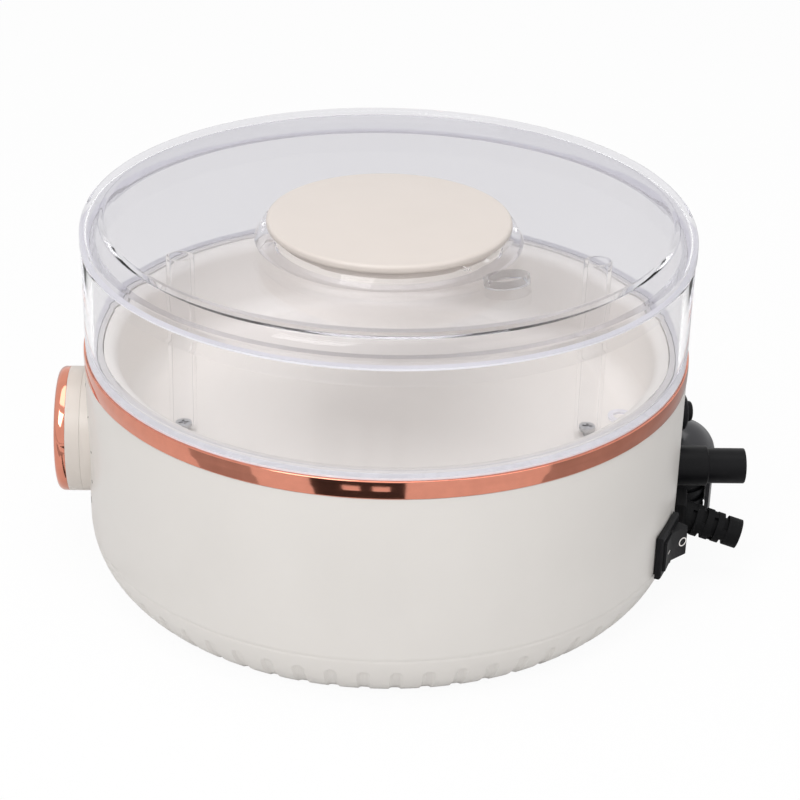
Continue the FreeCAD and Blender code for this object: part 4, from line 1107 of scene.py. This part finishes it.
def studio_floor():
    """Wide matt floor under the object."""
    material, graph = new_material("studio_floor")
    matt = mottled(graph, FLOOR_MOTTLE, *FLOOR_TONES)
    white = graph.make("Emission", Color=(1, 1, 1, 1), Strength=1.0)
    seen = seen_by(graph, IS_CAMERA, IS_TRANSMISSION)
    surface(material, graph.make("MixShader", i0=seen * FLOOR_WHITE_SHARE, i1=matt, i2=white))
    half = FLOOR_SIZE / 2
    corners = [(-half, -half, 0), (half, -half, 0), (half, half, 0), (-half, half, 0)]
    floor = flat_sheet("studio_floor", corners, [(0, 1, 2, 3)], material)


studio_floor()
print("floor:", FLOOR_SIZE, "m wide")

# %% [markdown]
# Around the set everything is white. The surround lights the object at half strength, which leaves room
# for the lamps, and is full white where it is seen, mirrored or looked at through a clear wall.

# %% Surround
SURROUND = 0.5


def studio_world():
    """White surround."""
    world = bpy.data.worlds.new("studio_world")
    world.use_nodes = True
    world.node_tree.nodes.clear()
    graph = Wire(world.node_tree)
    seen = seen_by(graph, IS_CAMERA, IS_GLOSSY, IS_TRANSMISSION)
    strength = seen * (1 - SURROUND) + SURROUND
    shader = graph.make("Background", Color=(1, 1, 1, 1), Strength=strength)
    output = world.node_tree.nodes.new("ShaderNodeOutputWorld")
    world.node_tree.links.new(shader.socket, output.inputs["Surface"])
    bpy.context.scene.world = world


studio_world()
print("surround lights at", SURROUND)

# %% [markdown]
# A mirror is only as good as what it mirrors. Photographers lay black and grey cards, called flags,
# beside a shiny object, so that its plating gets dark accents. Here they lie on the floor and are
# seen by reflections alone. The ring at an angle from the front mirrors the floor in a direction of
# twice that angle, so each card is a fan between two such directions. Two windows are left in the
# black one.

# %% Flags
FLAG_RISE = 0.001
FLAG_NEAR = 0.09
FLAG_FAR = 0.42
FLAG_DRIFT = 0.1
FLAG_MOTTLE = 12.0
BLACK_SHADE = 0.05
GREY_SHADE = 0.45
WINDOW = (0.135, 0.21)
BLACK_FANS = [(-14.0, -8.3), (-5.2, -2.9), (0.2, 3.0)]
WINDOW_FANS = [(-8.3, -5.2), (-2.9, 0.2)]
GREY_FANS = [(-38.0, -25.0), (30.0, 60.0), (60.0, 85.0)]
KNOB_STRIP = [(0.03, -0.1205), (0.15, -0.1395), (0.15, -0.1345), (0.03, -0.1172)]


def mirrored(angle, distance):
    """Place on the floor that the ring shows at an angle, for a distance from the ring."""
    a = math.radians(angle)
    return (ring_radius * MM * math.cos(a) + distance * math.cos(2 * a),
            ring_radius * MM * math.sin(a) + distance * math.sin(2 * a))


def fan(ends, near=FLAG_NEAR, far=FLAG_FAR):
    """Corners of a card that the ring shows between two angles."""
    start, end = ends
    return [mirrored(start, near), mirrored(start, far), mirrored(end, far), mirrored(end, near)]


def flag(name, shade, sheets):
    """Cards that lie beside the set and are seen only as reflections in shiny pieces."""
    material, graph = new_material(name)
    dark, light = shade * (1 - FLAG_DRIFT), shade * (1 + FLAG_DRIFT)
    surface(material, mottled(graph, FLAG_MOTTLE, dark, light))
    vertices = [(x, y, FLAG_RISE) for corners in sheets for x, y in corners]
    faces = [tuple(range(first, first + 4)) for first in range(0, len(vertices), 4)]
    card = flat_sheet(name, vertices, faces, material)
    for kind in ("camera", "diffuse", "transmission", "volume_scatter", "shadow"):
        setattr(card, "visible_" + kind, False)


black_sheets = [fan(ends) for ends in BLACK_FANS] + [KNOB_STRIP]
for ends in WINDOW_FANS:
    black_sheets += [fan(ends, far=WINDOW[0]), fan(ends, near=WINDOW[1])]
flag("black_flag", BLACK_SHADE, black_sheets)
flag("grey_flag", GREY_SHADE, [fan(ends) for ends in GREY_FANS])
print("flags:", len(black_sheets), "black cards and", len(GREY_FANS), "grey ones")

# %% [markdown]
# Three soft lamps light the set. The key stands high in front and to the left, so that shadows fall to
# the rear and the drum is brightest on that side. The top lamp fills the bowl, and a weak fill keeps
# the right side from going grey.

# %% Lamps
OBJECT_MIDDLE = (0, 0, 0.07)
LAMPS = {"key_softbox": ((0.95, -0.55, 1.0), 0.6, 7.4),
         "top_softbox": ((0.1, -0.05, 1.3), 0.9, 6.0),
         "fill_softbox": ((0.9, 0.8, 0.6), 0.7, 2.1)}


def softbox(name, place, aim, size, power):
    """Square soft light that points at a place."""
    data = bpy.data.lights.new(name, "AREA")
    data.shape = "RECTANGLE"
    data.size, data.size_y = size, size
    data.energy = power
    lamp = bpy.data.objects.new(name, data)
    lamp.location = place
    lamp.rotation_euler = (Vector(aim) - Vector(place)).to_track_quat("-Z", "Y").to_euler()
    bpy.context.scene.collection.objects.link(lamp)


for name, (place, size, power) in LAMPS.items():
    softbox(name, place, OBJECT_MIDDLE, size, power)
bpy.context.scene.view_settings.view_transform = "Standard"
print("lamps:", len(LAMPS))

# %% [markdown]
# The last cell says that the scene is done.

# %% End of the scene
print("the scene is dressed")
